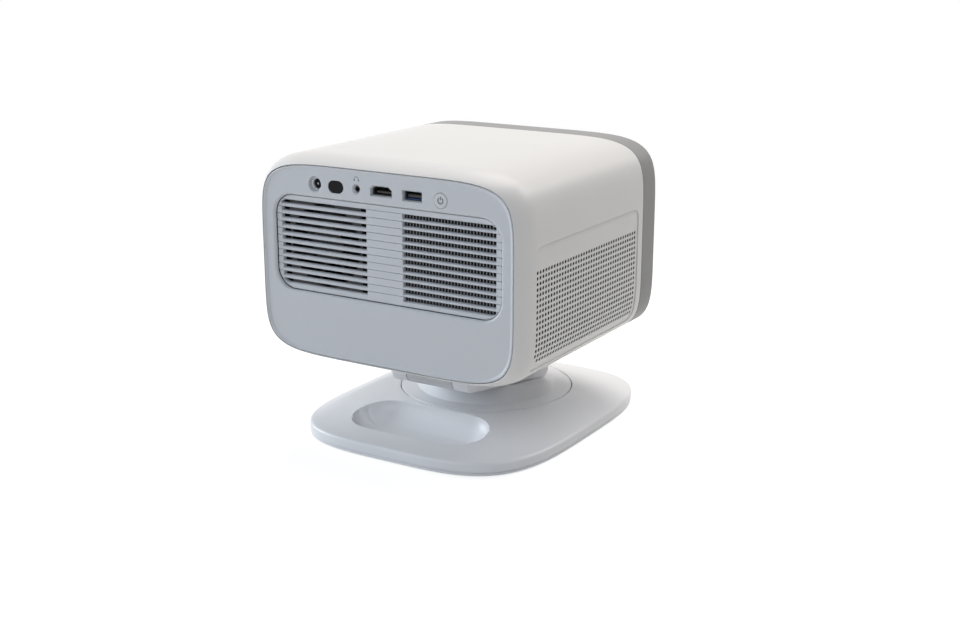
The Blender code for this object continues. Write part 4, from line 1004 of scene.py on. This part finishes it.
def boxSocket(name, outline, node, tongue):
    # a panel-coloured frame, the shell set back in it, drawn in matte black as painted shade for
    # the socket's shadowed inside, and a contact tongue
    x, z = socketSpot(name)
    wall, back = sockets["wall"], sockets["setBack"]
    rings = layered(name, outline, (
        (-0.0001, back), (-0.0001, 0.0007), (-0.0002, 0.0005), (-wall, 0.0005),
        (-wall - 0.0001, back)))
    place(skin(name + "Frame", rings, closed=True), "head", "panel_white")
    rings = layered(name, outline, (
        (-0.0002, 0.0120), (-0.0002, back + 0.0001), (-wall - 0.0003, back + 0.0001),
        (-wall - 0.0006, back + 0.0005), (-wall - 0.0006, 0.0110)))
    # the steel shell gets the matte black finish: painted shade for the dark inside of the socket
    place(skin(name + "Shell", rings), "head", "socket_steel", node,
          look=finishes["driver_black"])
    half, low, high = tongue
    blade = roundedBox(-half, half, low, high, 0.0002, 3)
    rings = [facingRear([(u * 0.98, (v - low) * 0.8 + low) for u, v in blade],
                        fieldY - back - 0.0009, x, z),
             facingRear(blade, fieldY - back - 0.0013, x, z),
             facingRear(blade, fieldY - 0.0108, x, z)]
    place(skin(name + "Tongue", rings), "head", look=tongueGrey)


def makeSockets():
    radius, back = sockets["dc"][2], sockets["setBack"]
    roundSocket("dc", [
        ("dcCollar", "panel_white", (), [
            (radius - 0.0001, -back), (radius - 0.0001, -0.0006), (radius - 0.0003, -0.0004),
            (radius - 0.0006, -0.0006), (radius - 0.0008, -back + 0.0004), (0.0036, -back + 0.0002),
            (0.0034, -back), (0.0034, -back - 0.0006), (radius - 0.0001, -back - 0.0006)], True),
        ("dcSocket", "socket_steel", ("dc_jack",), [
            (0, -0.0120), (0.0045, -0.0120), (0.0045, -back - 0.0008), (0.0033, -back - 0.0008),
            (0.0031, -back - 0.0010), (0.0031, -0.0110), (0, -0.0110)], False),
        ("dcPin", "socket_steel", (), [
            (0, -0.0109), (0.0011, -0.0109), (0.0011, -back - 0.0012), (0.0009, -back - 0.0005),
            (0.0005, -back - 0.0002), (0, -back - 0.0001)], False),
    ])
    radius = sockets["audio"][2]
    roundSocket("audio", [
        ("audioCollar", "panel_white", (), [
            (radius - 0.0001, -0.0040), (radius - 0.0001, -0.0004), (radius - 0.0003, -0.0002),
            (0.0028, -0.0003), (0.0025, -0.0009), (0.0025, -0.0040)], True),
        ("audioSocket", "socket_steel", ("audio_jack",), [
            (0, -0.0110), (0.0032, -0.0110), (0.0032, -0.0043), (0.0024, -0.0043),
            (0.0024, -0.0011), (0.0022, -0.0009), (0.0018, -0.0011), (0.0017, -0.0016),
            (0.0017, -0.0090), (0, -0.0090)], False),
    ])
    boxSocket("video", videoOutline, "video_port", (0.0056, -0.0016, -0.0002))
    boxSocket("data", dataOutline, "data_port", (0.0056, -0.0013, 0.0007))
    x, z = socketSpot("data")
    half, tall = (size / 2 for size in sockets["data"][2:])
    bed = roundedBox(-half + 0.0012, half - 0.0012, -tall + 0.0011, -tall + 0.0015, 0.0001, 2)
    rings = [facingRear(bed, fieldY - depth, x, z)
             for depth in (sockets["setBack"] + 0.0002, 0.0100)]
    place(skin("dataInsert", rings), "head", look=blueInsert)

    rings = layered("window", windowOutline, (
        (-0.0002, 0.0020), (-0.0002, 0.0007), (-0.0004, 0.0005), (-0.0012, 0.0005)))
    place(skin("remoteWindow", rings), "head", "gloss_black", "ir_window")


def makeButton():
    (x, z), radius = socketSpot("button"), sockets["button"][2]
    cap = turned("powerCap", [
        (0, -0.0050), (0.0016, -0.0050), (0.0016, -0.0032), (0.0060, -0.0032), (0.0060, -0.0024),
        (radius, -0.0024), (radius, -0.0001), (radius - 0.0001, 0.0001), (radius - 0.0003, 0.0002),
        (radius - 0.0012, 0.0002), (0.0020, 0.0001), (0, 0.00005),
    ], (x, fieldY, z), "Y")
    place(cap, "power_button", "panel_white", "power_button")
    symbol = {"radius": 0.00190, "line": 0.00062, "opening": 0.62, "rise": 0.00006}
    half = symbol["line"] / 2
    start, end = math.pi / 2 + symbol["opening"], math.pi / 2 - symbol["opening"] + 2 * math.pi
    band = (arcPoints(0, 0, symbol["radius"] + half, start, end, 40)
            + arcPoints(0, 0, symbol["radius"] - half, end, start, 40))
    bar = roundedBox(-half, half, 0.0006, 0.0027, half * 0.98, 4)
    low, high = fieldY - 0.0002, fieldY + 0.0002 + symbol["rise"]
    parts = [skin("mark", [facingRear(outline, y, x, z) for y in (low, high)])
             for outline in (band, bar)]
    return place(joined("powerMark", parts), "power_button", look=printInk)


def makeHeadphoneMark():
    mark = {"rise": 0.0066, "radius": 0.0017, "line": 0.00036}
    x, z = socketSpot("audio")
    half = mark["line"] / 2
    band = (arcPoints(0, 0, mark["radius"] + half, 0.15, math.pi - 0.15, 24)
            + arcPoints(0, 0, mark["radius"] - half, math.pi - 0.15, 0.15, 24))
    parts = [band] + [roundedBox(s * mark["radius"] - 0.0005, s * mark["radius"] + 0.0005,
                                 -0.0012, 0.0001, 0.0003, 4) for s in (-1, 1)]
    made = [skin("mark", [facingRear(outline, fieldY + y, x, z + mark["rise"])
                          for y in (-0.0001, 0.00004)]) for outline in parts]
    return place(joined("headphoneMark", made), "head", look=printInk)


makeSockets()
makeButton()
makeHeadphoneMark()
print("sockets and button made")


# Front bezel, front panel and optics


optics = {
    "across": 0.0340, "raise": 0.0020, "hole": 0.0290, "sensor": (0.0300, 0.0110),
    "corner": 0.0030, "rim": 0.0062, "mouth": 0.0273, "throat": 0.0195, "hoodDepth": 0.0096,
    "steps": 6, "bulge": 0.0040,
}


def makeFront():
    front, wall = head["front"], head["wall"]
    back = bezelHigh.y
    rings = [headRing(back, wall), headRing(back, 0.0003), headRing(back - 0.0003, 0)]
    rings += [headRing(front + optics["corner"] * down, optics["corner"] * inward)
              for down, inward in quarter(8)]
    panelLow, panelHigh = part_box("front_panel")
    rim = optics["rim"]
    seat = panelHigh.y + 0.0003
    rings += [
        headRing(front, rim - 0.0008), headRing(front + 0.0003, rim - 0.0002),
        headRing(front + 0.0009, rim), headRing(seat, rim), headRing(seat, rim + 0.0030),
        headRing(seat + 0.0030, rim + 0.0030), headRing(seat + 0.0060, wall),
    ]
    place(skin("frontBezel", rings, closed=True), "head", "bezel_grey", "front_bezel")

    lensX, lensZ = optics["across"], head["middle"] + optics["raise"]
    face, backY = panelLow.y, panelHigh.y
    panel = skin("frontPanel", [
        headRing(backY, rim + 0.0004), headRing(face + 0.0004, rim + 0.0004),
        headRing(face, rim + 0.0008),
    ])

    def sensorOutline(grow):
        length, width = optics["sensor"]
        return stadium(length + 2 * grow, width + 2 * grow)

    cutAway(panel, [
        flared("lensHole", circleAt(optics["hole"], 96), lensX, lensZ, face, backY + 0.01, 0.0006),
        flared("sensorHole", sensorOutline, -lensX, lensZ, face, backY + 0.01, 0.0004),
    ])
    place(panel, "head", "bezel_grey", "front_panel")

    # stepped light baffles inside the cone
    throat, mouth = optics["throat"], optics["mouth"]
    profile = [(0.0287, 0.0003), (0.0287, 0.0026), (0.0239, 0.0110), (throat, 0.0110)]
    for step in range(optics["steps"]):
        share = step / optics["steps"]
        radius = throat + (mouth - throat) * share
        depth = optics["hoodDepth"] - 0.0093 * share
        profile += [(radius, depth), (radius + 0.0011, depth)]
    profile += [(mouth, 0.0003), (0.0280, 0)]
    place(turned("lensHood", profile, (lensX, face, lensZ), "Y", True, 96, 20),
          "head", "dark_plastic", "lens_hood")
    lensLow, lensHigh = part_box("lens_element")
    radius, thick = (lensHigh.x - lensLow.x) / 2, lensHigh.y - lensLow.y
    turns = [math.pi / 2 * step / 12 for step in range(1, 13)]
    profile = [(0, 0)] + [(radius * math.sin(turn), optics["bulge"] * (1 - math.cos(turn)))
                          for turn in turns]
    profile += [(radius, thick), (0, thick)]
    place(turned("frontLens", profile, (lensX, lensLow.y, lensZ), "Y", steps=96),
          "head", "lens_glass", "lens_element")
    low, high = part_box("sensor_window")
    rings = []
    for grow, y in ((0, high.y), (0, low.y + 0.0004), (-0.0003, low.y), (-0.0020, low.y)):
        rings.append(facingRear(stadium(high.x - low.x + 2 * grow, high.z - low.z + 2 * grow),
                                y, -lensX, lensZ))
    place(skin("sensorWindow", rings), "head", "gloss_black", "sensor_window")


makeFront()
print("front made")


# Stand: base, turntable and arm

discLow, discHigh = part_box("turntable_disc")
baseLow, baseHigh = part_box("base_shell")
stand = {
    "halfWidth": baseHigh.x, "halfDepth": baseHigh.y, "exponent": 3.75, "points": 240,
    "swivelY": (discLow.y + discHigh.y) / 2, "seat": (discHigh.x - discLow.x) / 2 + 0.0006,
    "bottom": baseLow.z, "sideTop": 0.0085, "shoulder": 0.0022, "top": baseHigh.z,
    "land": 0.0030, "bend": 1.35, "steps": 20, "wall": 0.0030, "lip": 0.0003,
    "bore": 0.0161, "narrowing": 0.86, "wellWall": 0.0034,
}
tray = {"length": 0.1060, "width": 0.0450, "y": 0.0740, "floor": 0.0054, "lip": 0.0009,
        "sweep": 0.0450 / 2.7, "wall": 0.0012, "around": 0.0022, "steps": 18}


def baseRing(z, inset):
    outline = superOutline(stand["halfWidth"] - inset, stand["halfDepth"] - inset,
                           stand["exponent"], stand["points"])
    return [(x, y, z) for x, y in outline]


def crownPoint(turn, share):
    # from the base's outline at share 0 to the round seat of the disc at share 1
    across, up = math.cos(turn), math.sin(turn)
    power, inset = 2 / stand["exponent"], stand["shoulder"]
    x = (stand["halfWidth"] - inset) * math.copysign(abs(across) ** power, across)
    y = (stand["halfDepth"] - inset) * math.copysign(abs(up) ** power, up)
    radius = stand["seat"] + stand["land"]
    return (x + (radius * across - x) * share,
            y + (stand["swivelY"] + radius * up - y) * share)


def crownHeight(share):
    start = stand["sideTop"] + stand["shoulder"]
    return start + (stand["top"] - start) * (1 - (1 - share) ** stand["bend"])


def crownRing(share):
    z = crownHeight(share)
    return [(*crownPoint(2 * math.pi * i / stand["points"], share), z)
            for i in range(stand["points"])]


def heightAt(x, y):
    # height of the sloping crown over a point of the table
    best, turnBest = 1e9, 0
    for step in range(360):
        turn = 2 * math.pi * step / 360
        a, b = Vector(crownPoint(turn, 0)), Vector(crownPoint(turn, 1))
        run, reach = b - a, Vector((x, y)) - a
        gap = abs(run.x * reach.y - run.y * reach.x) / run.length
        if gap < best and run.dot(reach) > 0:
            best, turnBest = gap, turn
    low, high = turnBest - math.pi / 180, turnBest + math.pi / 180

    def offset(turn):
        a, b = Vector(crownPoint(turn, 0)), Vector(crownPoint(turn, 1))
        run, reach = b - a, Vector((x, y)) - a
        return run.x * reach.y - run.y * reach.x, run.dot(reach) / run.length_squared
    first = offset(low)[0]
    for _ in range(24):
        middle = (low + high) / 2
        side, share = offset(middle)
        if (side > 0) == (first > 0):
            low = middle
        else:
            high = middle
    return crownHeight(min(max(share, 0.0), 1.0))


def trayCutter():
    # a scoop whose rounded rim follows the slope of the crown
    def outline(inset):
        return [(x, tray["y"] + y) for x, y in
                stadium(tray["length"] - 2 * inset, tray["width"] - 2 * inset, 36)]
    lip = tray["lip"]
    rim = outline(0)
    surface = [heightAt(x, y) for x, y in rim]
    rings = [[(x, y, z + 0.01) for (x, y), z in zip(outline(-lip), surface)]]
    for step, (aside, deep) in enumerate(quarter(6)):
        rings.append([(x, y, z - lip * deep + (0.00002 if step == 0 else 0))
                      for (x, y), z in zip(outline(-lip * aside), surface)])
    for step in range(1, tray["steps"] + 1):
        turn = math.pi / 2 * step / tray["steps"]
        spots = outline(tray["sweep"] * (1 - math.cos(turn)))
        share = math.sin(turn)
        rings.append([(x, y, (z - lip) * (1 - share) + tray["floor"] * share)
                      for (x, y), z in zip(spots, surface)])
    return skin("trayCutter", rings)


def makeBase():
    rings = [baseRing(stand["bottom"], stand["lip"]), baseRing(stand["bottom"] + stand["lip"], 0)]
    for step in range(6):
        turn = math.pi / 2 * step / 6
        rings.append(baseRing(stand["sideTop"] + stand["shoulder"] * math.sin(turn),
                              stand["shoulder"] * (1 - math.cos(turn))))
    rings.append(crownRing(0))
    rings += [crownRing(step / stand["steps"]) for step in range(1, stand["steps"] + 1)]
    shell = skin("baseShell", rings)
    seat, y = stand["seat"], stand["swivelY"]
    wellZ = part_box("swivel_washer")[0].z - 0.0003
    well = turned("well", [(0, wellZ), (seat, wellZ), (seat, stand["top"] - 0.0004),
                           (seat + 0.0004, stand["top"]), (seat + 0.0004, 0.03), (0, 0.03)],
                  (0, y, 0), "Z", steps=180)
    bore = turned("bore", [(0, -0.01), (stand["bore"], -0.01), (stand["bore"], 0.03), (0, 0.03)],
                  (0, y, 0), "Z")
    inner = [
        [(x, yy, stand["bottom"] - 0.01) for x, yy, z in baseRing(0, stand["wall"])],
        [(x, yy, crownHeight(0) - stand["wall"]) for x, yy, z in baseRing(0, stand["wall"] * 2)],
        [(x * stand["narrowing"], yy * stand["narrowing"], wellZ - stand["wellWall"])
         for x, yy, z in baseRing(0, stand["wall"])],
    ]
    cavity = skin("cavity", inner)
    around = tray["around"] * 2
    guard = [(x, tray["y"] + yy)
             for x, yy in stadium(tray["length"] + around, tray["width"] + around, 24)]
    cutAway(cavity, [prism("guard", guard, tray["floor"] - tray["wall"], 0.03)])
    cutAway(shell, [cavity, well, bore, trayCutter()])
    return place(shell, "stand", "base_white", "base_shell")


baseShell = makeBase()
print("base made:", len(baseShell.data.polygons), "faces")


def makeCover():
    low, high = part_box("base_cover")
    inset = stand["halfWidth"] - high.x
    bottom, top = low.z, high.z
    radius = 0.0008
    rings = [baseRing(top, inset), baseRing(top - 0.0001, inset)] + [
        baseRing(bottom + radius - radius * math.sin(math.pi / 2 * step / 4),
                 inset + radius * (1 - math.cos(math.pi / 2 * step / 4))) for step in range(5)]
    cover = skin("baseCover", rings)
    seats = {
        "foot_": [(0, -0.01), (0.0073, -0.01), (0.0073, bottom + 0.0006), (0, bottom + 0.0006)],
        "base_screw_": [
            (0, -0.01), (0.0036, -0.01), (0.0036, bottom), (0.0031, bottom + 0.0005),
            (0.0031, bottom + 0.0014), (0.0016, bottom + 0.0014), (0.0016, 0.01), (0, 0.01)],
    }
    cutters = []
    for index in range(4):
        for kind, profile in seats.items():
            a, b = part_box(f"{kind}{index + 1}")
            cutters.append(turned("seat", profile,
                                  ((a.x + b.x) / 2, (a.y + b.y) / 2, 0), "Z", steps=48))
    cutAway(cover, cutters)
    return place(cover, "stand", "base_white", "base_cover")


makeCover()


def screwTree():
    # one screw, set at each place of a list of points
    field = FieldTree("coverScrews", [("Screw", "Object"), ("Material", "Material")])
    made = field.node("GeometryNodeInstanceOnPoints", {
        "Points": field.inlet["Geometry"], "Instance": field.shape("Screw"),
    })
    field.ends(made.outputs[0])
    return field


def makeScrews():
    low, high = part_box("base_screw_1")
    height = high.z - low.z
    screw = turned("coverScrew", [
        (0, 0), (0.0022, 0), (0.0026, 0.00012), (0.0028, 0.0004), (0.0028, 0.0014),
        (0.0013, 0.0014), (0.0013, height - 0.0007), (0, height),
    ], (0, 0, 0), "Z", steps=32)
    arms = []
    for span in ((0.0016, 0.0003), (0.0003, 0.0016)):
        outline = roundedBox(-span[0], span[0], -span[1], span[1], 0.00015, 2)
        arms.append(prism("recess", outline, -0.001, 0.0008))
    cutAway(screw, arms)
    bm = bmesh.new()
    for index in range(4):
        a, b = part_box(f"base_screw_{index + 1}")
        bm.verts.new(((a.x + b.x) / 2, (a.y + b.y) / 2, a.z))
    made = grown("baseScrews", fromBmesh("baseScrews", bm), screwTree(),
                 {"Screw": screw, "Material": finishes["steel"]})
    bpy.data.objects.remove(screw)
    return place(made, "stand", "steel", *(f"base_screw_{i + 1}" for i in range(4)))


makeScrews()


def makeTurntable():
    radius, top, bottom = (discHigh.x - discLow.x) / 2, stand["top"] + 0.0002, discLow.z
    neck = {"foot": 0.0512, "top": 0.0260, "rise": 0.0170, "bow": 0.9, "steps": 16,
            "edge": 0.0008, "step": 0.0003, "bore": 0.0159}
    edge, level = neck["edge"], top + neck["step"]
    profile = [(0, bottom), (radius, bottom), (radius, top - edge)]
    profile += [(radius - edge * inward, top - edge * down) for down, inward in quarter(4)[1:]]
    for step in range(neck["steps"] + 1):
        share = step / neck["steps"]
        flare = (neck["foot"] - neck["top"]) * (1 - share) ** neck["bow"]
        profile.append((neck["top"] + flare, level + neck["rise"] * share))
    profile.append((0, level + neck["rise"]))
    spot = (0, stand["swivelY"], 0)
    disc = turned("turntable", profile, spot, "Z", steps=180)
    # cut to the arm's underside, which it meets behind the level part
    front, rear, high = spot[1] - radius, spot[1] + radius, top + 0.04
    meets = front
    while armFoot(meets) - neck["step"] < level:
        meets += neck["step"]
    slope = [(front, level), (meets, level), (rear, armFoot(rear) - neck["step"]), (rear, high),
             (front, high)]
    cutter = skin("neckSlope", [[(x, y, z) for y, z in slope] for x in (-radius, radius)])
    bore = turned("discBore", [(0, -0.01), (neck["bore"], -0.01), (neck["bore"], 0.06), (0, 0.06)],
                  spot, "Z")
    cutAway(disc, [cutter, bore])
    return place(disc, "turntable", "base_white", "turntable_disc")


pinLow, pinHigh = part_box("hinge_pin")
armShape = {
    "axisY": (pinLow.y + pinHigh.y) / 2, "axisZ": (pinLow.z + pinHigh.z) / 2,
    "pin": (pinHigh.z - pinLow.z) / 2, "pinReach": 0.0270, "knuckle": 0.0077,
    "toeY": -0.0480, "toeZ": 0.0274, "toe": 0.0062,
    "halfWidth": 0.0315, "top": shellLow.z - 0.0005, "brow": 0.0040, "edge": 0.0007,
    "notch": 0.0195, "clearance": 0.0006, "seam": 0.0008,
}


def armNormal():
    run = Vector((armShape["axisY"] - armShape["toeY"], armShape["axisZ"] - armShape["toeZ"]))
    taper = (armShape["toe"] - armShape["knuckle"]) / run.length
    return math.atan2(run.y, run.x) - math.acos(taper)


def armFoot(y):
    normal = armNormal()
    rise = armShape["knuckle"] - math.cos(normal) * (y - armShape["axisY"])
    return armShape["axisZ"] + rise / math.sin(normal)


def armOutline(inset):
    normal, half = armNormal(), math.pi / 2
    toe, knuckle, brow = armShape["toe"], armShape["knuckle"], armShape["brow"]
    front = armShape["toeY"] - toe
    return (
        arcPoints(armShape["toeY"], armShape["toeZ"], toe - inset, -2 * half, normal, 14)
        + arcPoints(armShape["axisY"], armShape["axisZ"], knuckle - inset, normal, half, 24)
        + [(armShape["axisY"], armShape["top"] - inset)]
        + arcPoints(front + brow, armShape["top"] - brow, brow - inset, half, 2 * half, 8)
    )


def hingeRod(name, grow):
    # the pin of the hinge, its ends hidden in the ears, or the bore round it
    reach, radius = armShape["pinReach"] + grow, armShape["pin"] + grow
    return turned(name, [(0, -reach), (radius, -reach), (radius, reach), (0, reach)],
                  (0, armShape["axisY"], armShape["axisZ"]), "X", steps=40)


def slabRings(half, edge, steps, outline):
    # a slab across X whose end faces are rounded off
    arcs = [(edge * down, edge * inward) for down, inward in quarter(steps)]
    return [[(side * (half - back), y, z) for y, z in outline(inset)]
            for side in (-1, 1) for inset, back in (arcs if side < 0 else arcs[::-1])]


def makeArm():
    rings = slabRings(armShape["halfWidth"], armShape["edge"], 4, armOutline)
    arm = skin("tiltArm", rings)
    notchY = armShape["axisY"] - armShape["knuckle"] - armShape["clearance"]
    notch = roundedBox(-armShape["notch"], armShape["notch"], notchY, notchY + 0.05, 0.0005, 3)
    cutters = [prism("notch", notch, 0.01, 0.09)]
    lidLow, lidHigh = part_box("arm_lid")
    gap = 0.0003
    seat = roundedBox(lidLow.x - gap, lidHigh.x + gap, lidLow.y - gap, lidHigh.y + gap, 0.0004, 3)
    cutters.append(prism("lidSeat", seat, lidLow.z - gap, 0.09))
    cutters.append(hingeRod("pinBore", 0.0003))
    cutAway(arm, cutters)
    return place(arm, "turntable", "base_white", "arm")


def makeKnuckle():
    low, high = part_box("hinge_bracket")
    y, z, radius = armShape["axisY"], armShape["axisZ"], armShape["knuckle"]
    half, edge = armShape["notch"] - armShape["seam"], 0.0005
    top = high.z - 0.0012

    def outline(inset):
        return ([(y + radius - inset, top), (y - radius + inset, top)]
                + arcPoints(y, z, radius - inset, math.pi, 2 * math.pi, 24))
    knuckle = skin("hingeKnuckle", slabRings(half, edge, 3, outline))
    plate = roundedBox(low.x, high.x, low.y, high.y, 0.002, 4)
    cutAway(knuckle, [prism("plate", plate, high.z - 0.0025, high.z)], "UNION")
    cutAway(knuckle, [hingeRod("knuckleBore", 0.0003)])
    place(hingeRod("hingePin", 0), "head", "steel", "hinge_pin")
    return place(knuckle, "head", "painted_bracket", "hinge_bracket")


makeTurntable()
makeArm()
makeKnuckle()
print("stand made")


# Floor, world and lamps

studio = {
    "ambient": 0.03, "floor": ((0.76, 0.76, 0.76), (0.79, 0.79, 0.79)),
    "floorGlow": 0.78, "fadeStart": 0.25,
    "lamps": {
        # name: place, aim, size, watts, colour
        "overhead": ((0.2, -0.9, 2.2), (0.0, 0.0, 0.15), 1.6, 35.5, (1.0, 0.94, 0.885)),
        "rightHigh": ((-1.2, -1.5, 1.7), (0.0, 0.0, 0.1), 1.2, 20.0, (1.0, 0.98, 0.96)),
        "leftLow": ((2.0, 0.5, 0.6), (0.0, 0.0, 0.05), 1.0, 28.0, (0.87, 0.94, 1.0)),
        "rearFill": ((-0.3, 2.1, 1.3), (0.0, 0.0, 0.1), 1.5, 18.5, (0.84, 0.90, 1.0)),
    },
}
pureWhite = (1.0, 1.0, 1.0)


def seenShare(tree):
    # 1 for what the camera sees straight, mirrored or through glass
    rays = addNode(tree, "ShaderNodeLightPath").outputs
    share = Wire(tree, rays["Is Camera Ray"]) + Wire(tree, rays["Is Glossy Ray"])
    return (share + Wire(tree, rays["Is Transmission Ray"])).clipped()


floorMesh = bpy.data.meshes.new("studioFloor")
floorMesh.from_pydata([(-30, -30, 0), (30, -30, 0), (30, 30, 0), (-30, 30, 0)], [], [(0, 1, 2, 3)])
floorLook = Finish("studioFloorPaint", Roughness=0.9)
floorLook.feeds(Base_Color=floorLook.mix(floorLook.noise(3, 2), *studio["floor"]))
# the camera sees white with the part's soft shadow on it, and pure white further out
white = floorLook.node("ShaderNodeEmission",
                       {"Color": pureWhite, "Strength": studio["floorGlow"]})
grey = floorLook.node("ShaderNodeBsdfDiffuse", {"Color": (0.45, 0.45, 0.45)})
near = floorLook.node("ShaderNodeAddShader", {0: white.outputs[0], 1: grey.outputs[0]})
pure = floorLook.node("ShaderNodeEmission", {"Color": pureWhite, "Strength": 1.0})
reach = floorLook.node("ShaderNodeVectorMath", {0: floorLook.place}, operation="LENGTH")
fade = ((Wire(floorLook.tree, reach.outputs["Value"]) - studio["fadeStart"]) * 2.0).clipped()
seen = floorLook.node("ShaderNodeMixShader",
                      {0: fade, 1: near.outputs[0], 2: pure.outputs[0]})
choice = floorLook.node("ShaderNodeMixShader", {
    0: seenShare(floorLook.tree), 1: floorLook.shader.outputs[0], 2: seen.outputs[0],
})
floorOut = next(n for n in floorLook.tree.nodes if n.type == "OUTPUT_MATERIAL")
feed(floorLook.tree, floorOut.inputs["Surface"], choice.outputs[0])
floorMesh.materials.append(floorLook.material)
floor = addObject("studioFloor", floorMesh)

world = bpy.data.worlds.new("studioWorld")
scene.world = world
world.use_nodes = True
worldTree = world.node_tree
worldTree.nodes.clear()
soft = addNode(worldTree, "ShaderNodeBackground",
               {"Color": (0.95, 0.97, 1.0), "Strength": studio["ambient"]})
bright = addNode(worldTree, "ShaderNodeBackground", {"Color": pureWhite, "Strength": 1.0})
choice = addNode(worldTree, "ShaderNodeMixShader",
                 {0: seenShare(worldTree), 1: soft.outputs[0], 2: bright.outputs[0]})
addNode(worldTree, "ShaderNodeOutputWorld", {"Surface": choice.outputs[0]})
for name, (spot, aim, size, watts, colour) in studio["lamps"].items():
    lamp = bpy.data.lights.new(name, "AREA")
    lamp.shape, lamp.size, lamp.energy, lamp.color = "SQUARE", size, watts, colour
    obj = bpy.data.objects.new(name, lamp)
    scene.collection.objects.link(obj)
    obj.location = spot
    obj.rotation_euler = (Vector(aim) - Vector(spot)).to_track_quat("-Z", "Y").to_euler()
scene.view_settings.view_transform = "Standard"
print("studio ready")
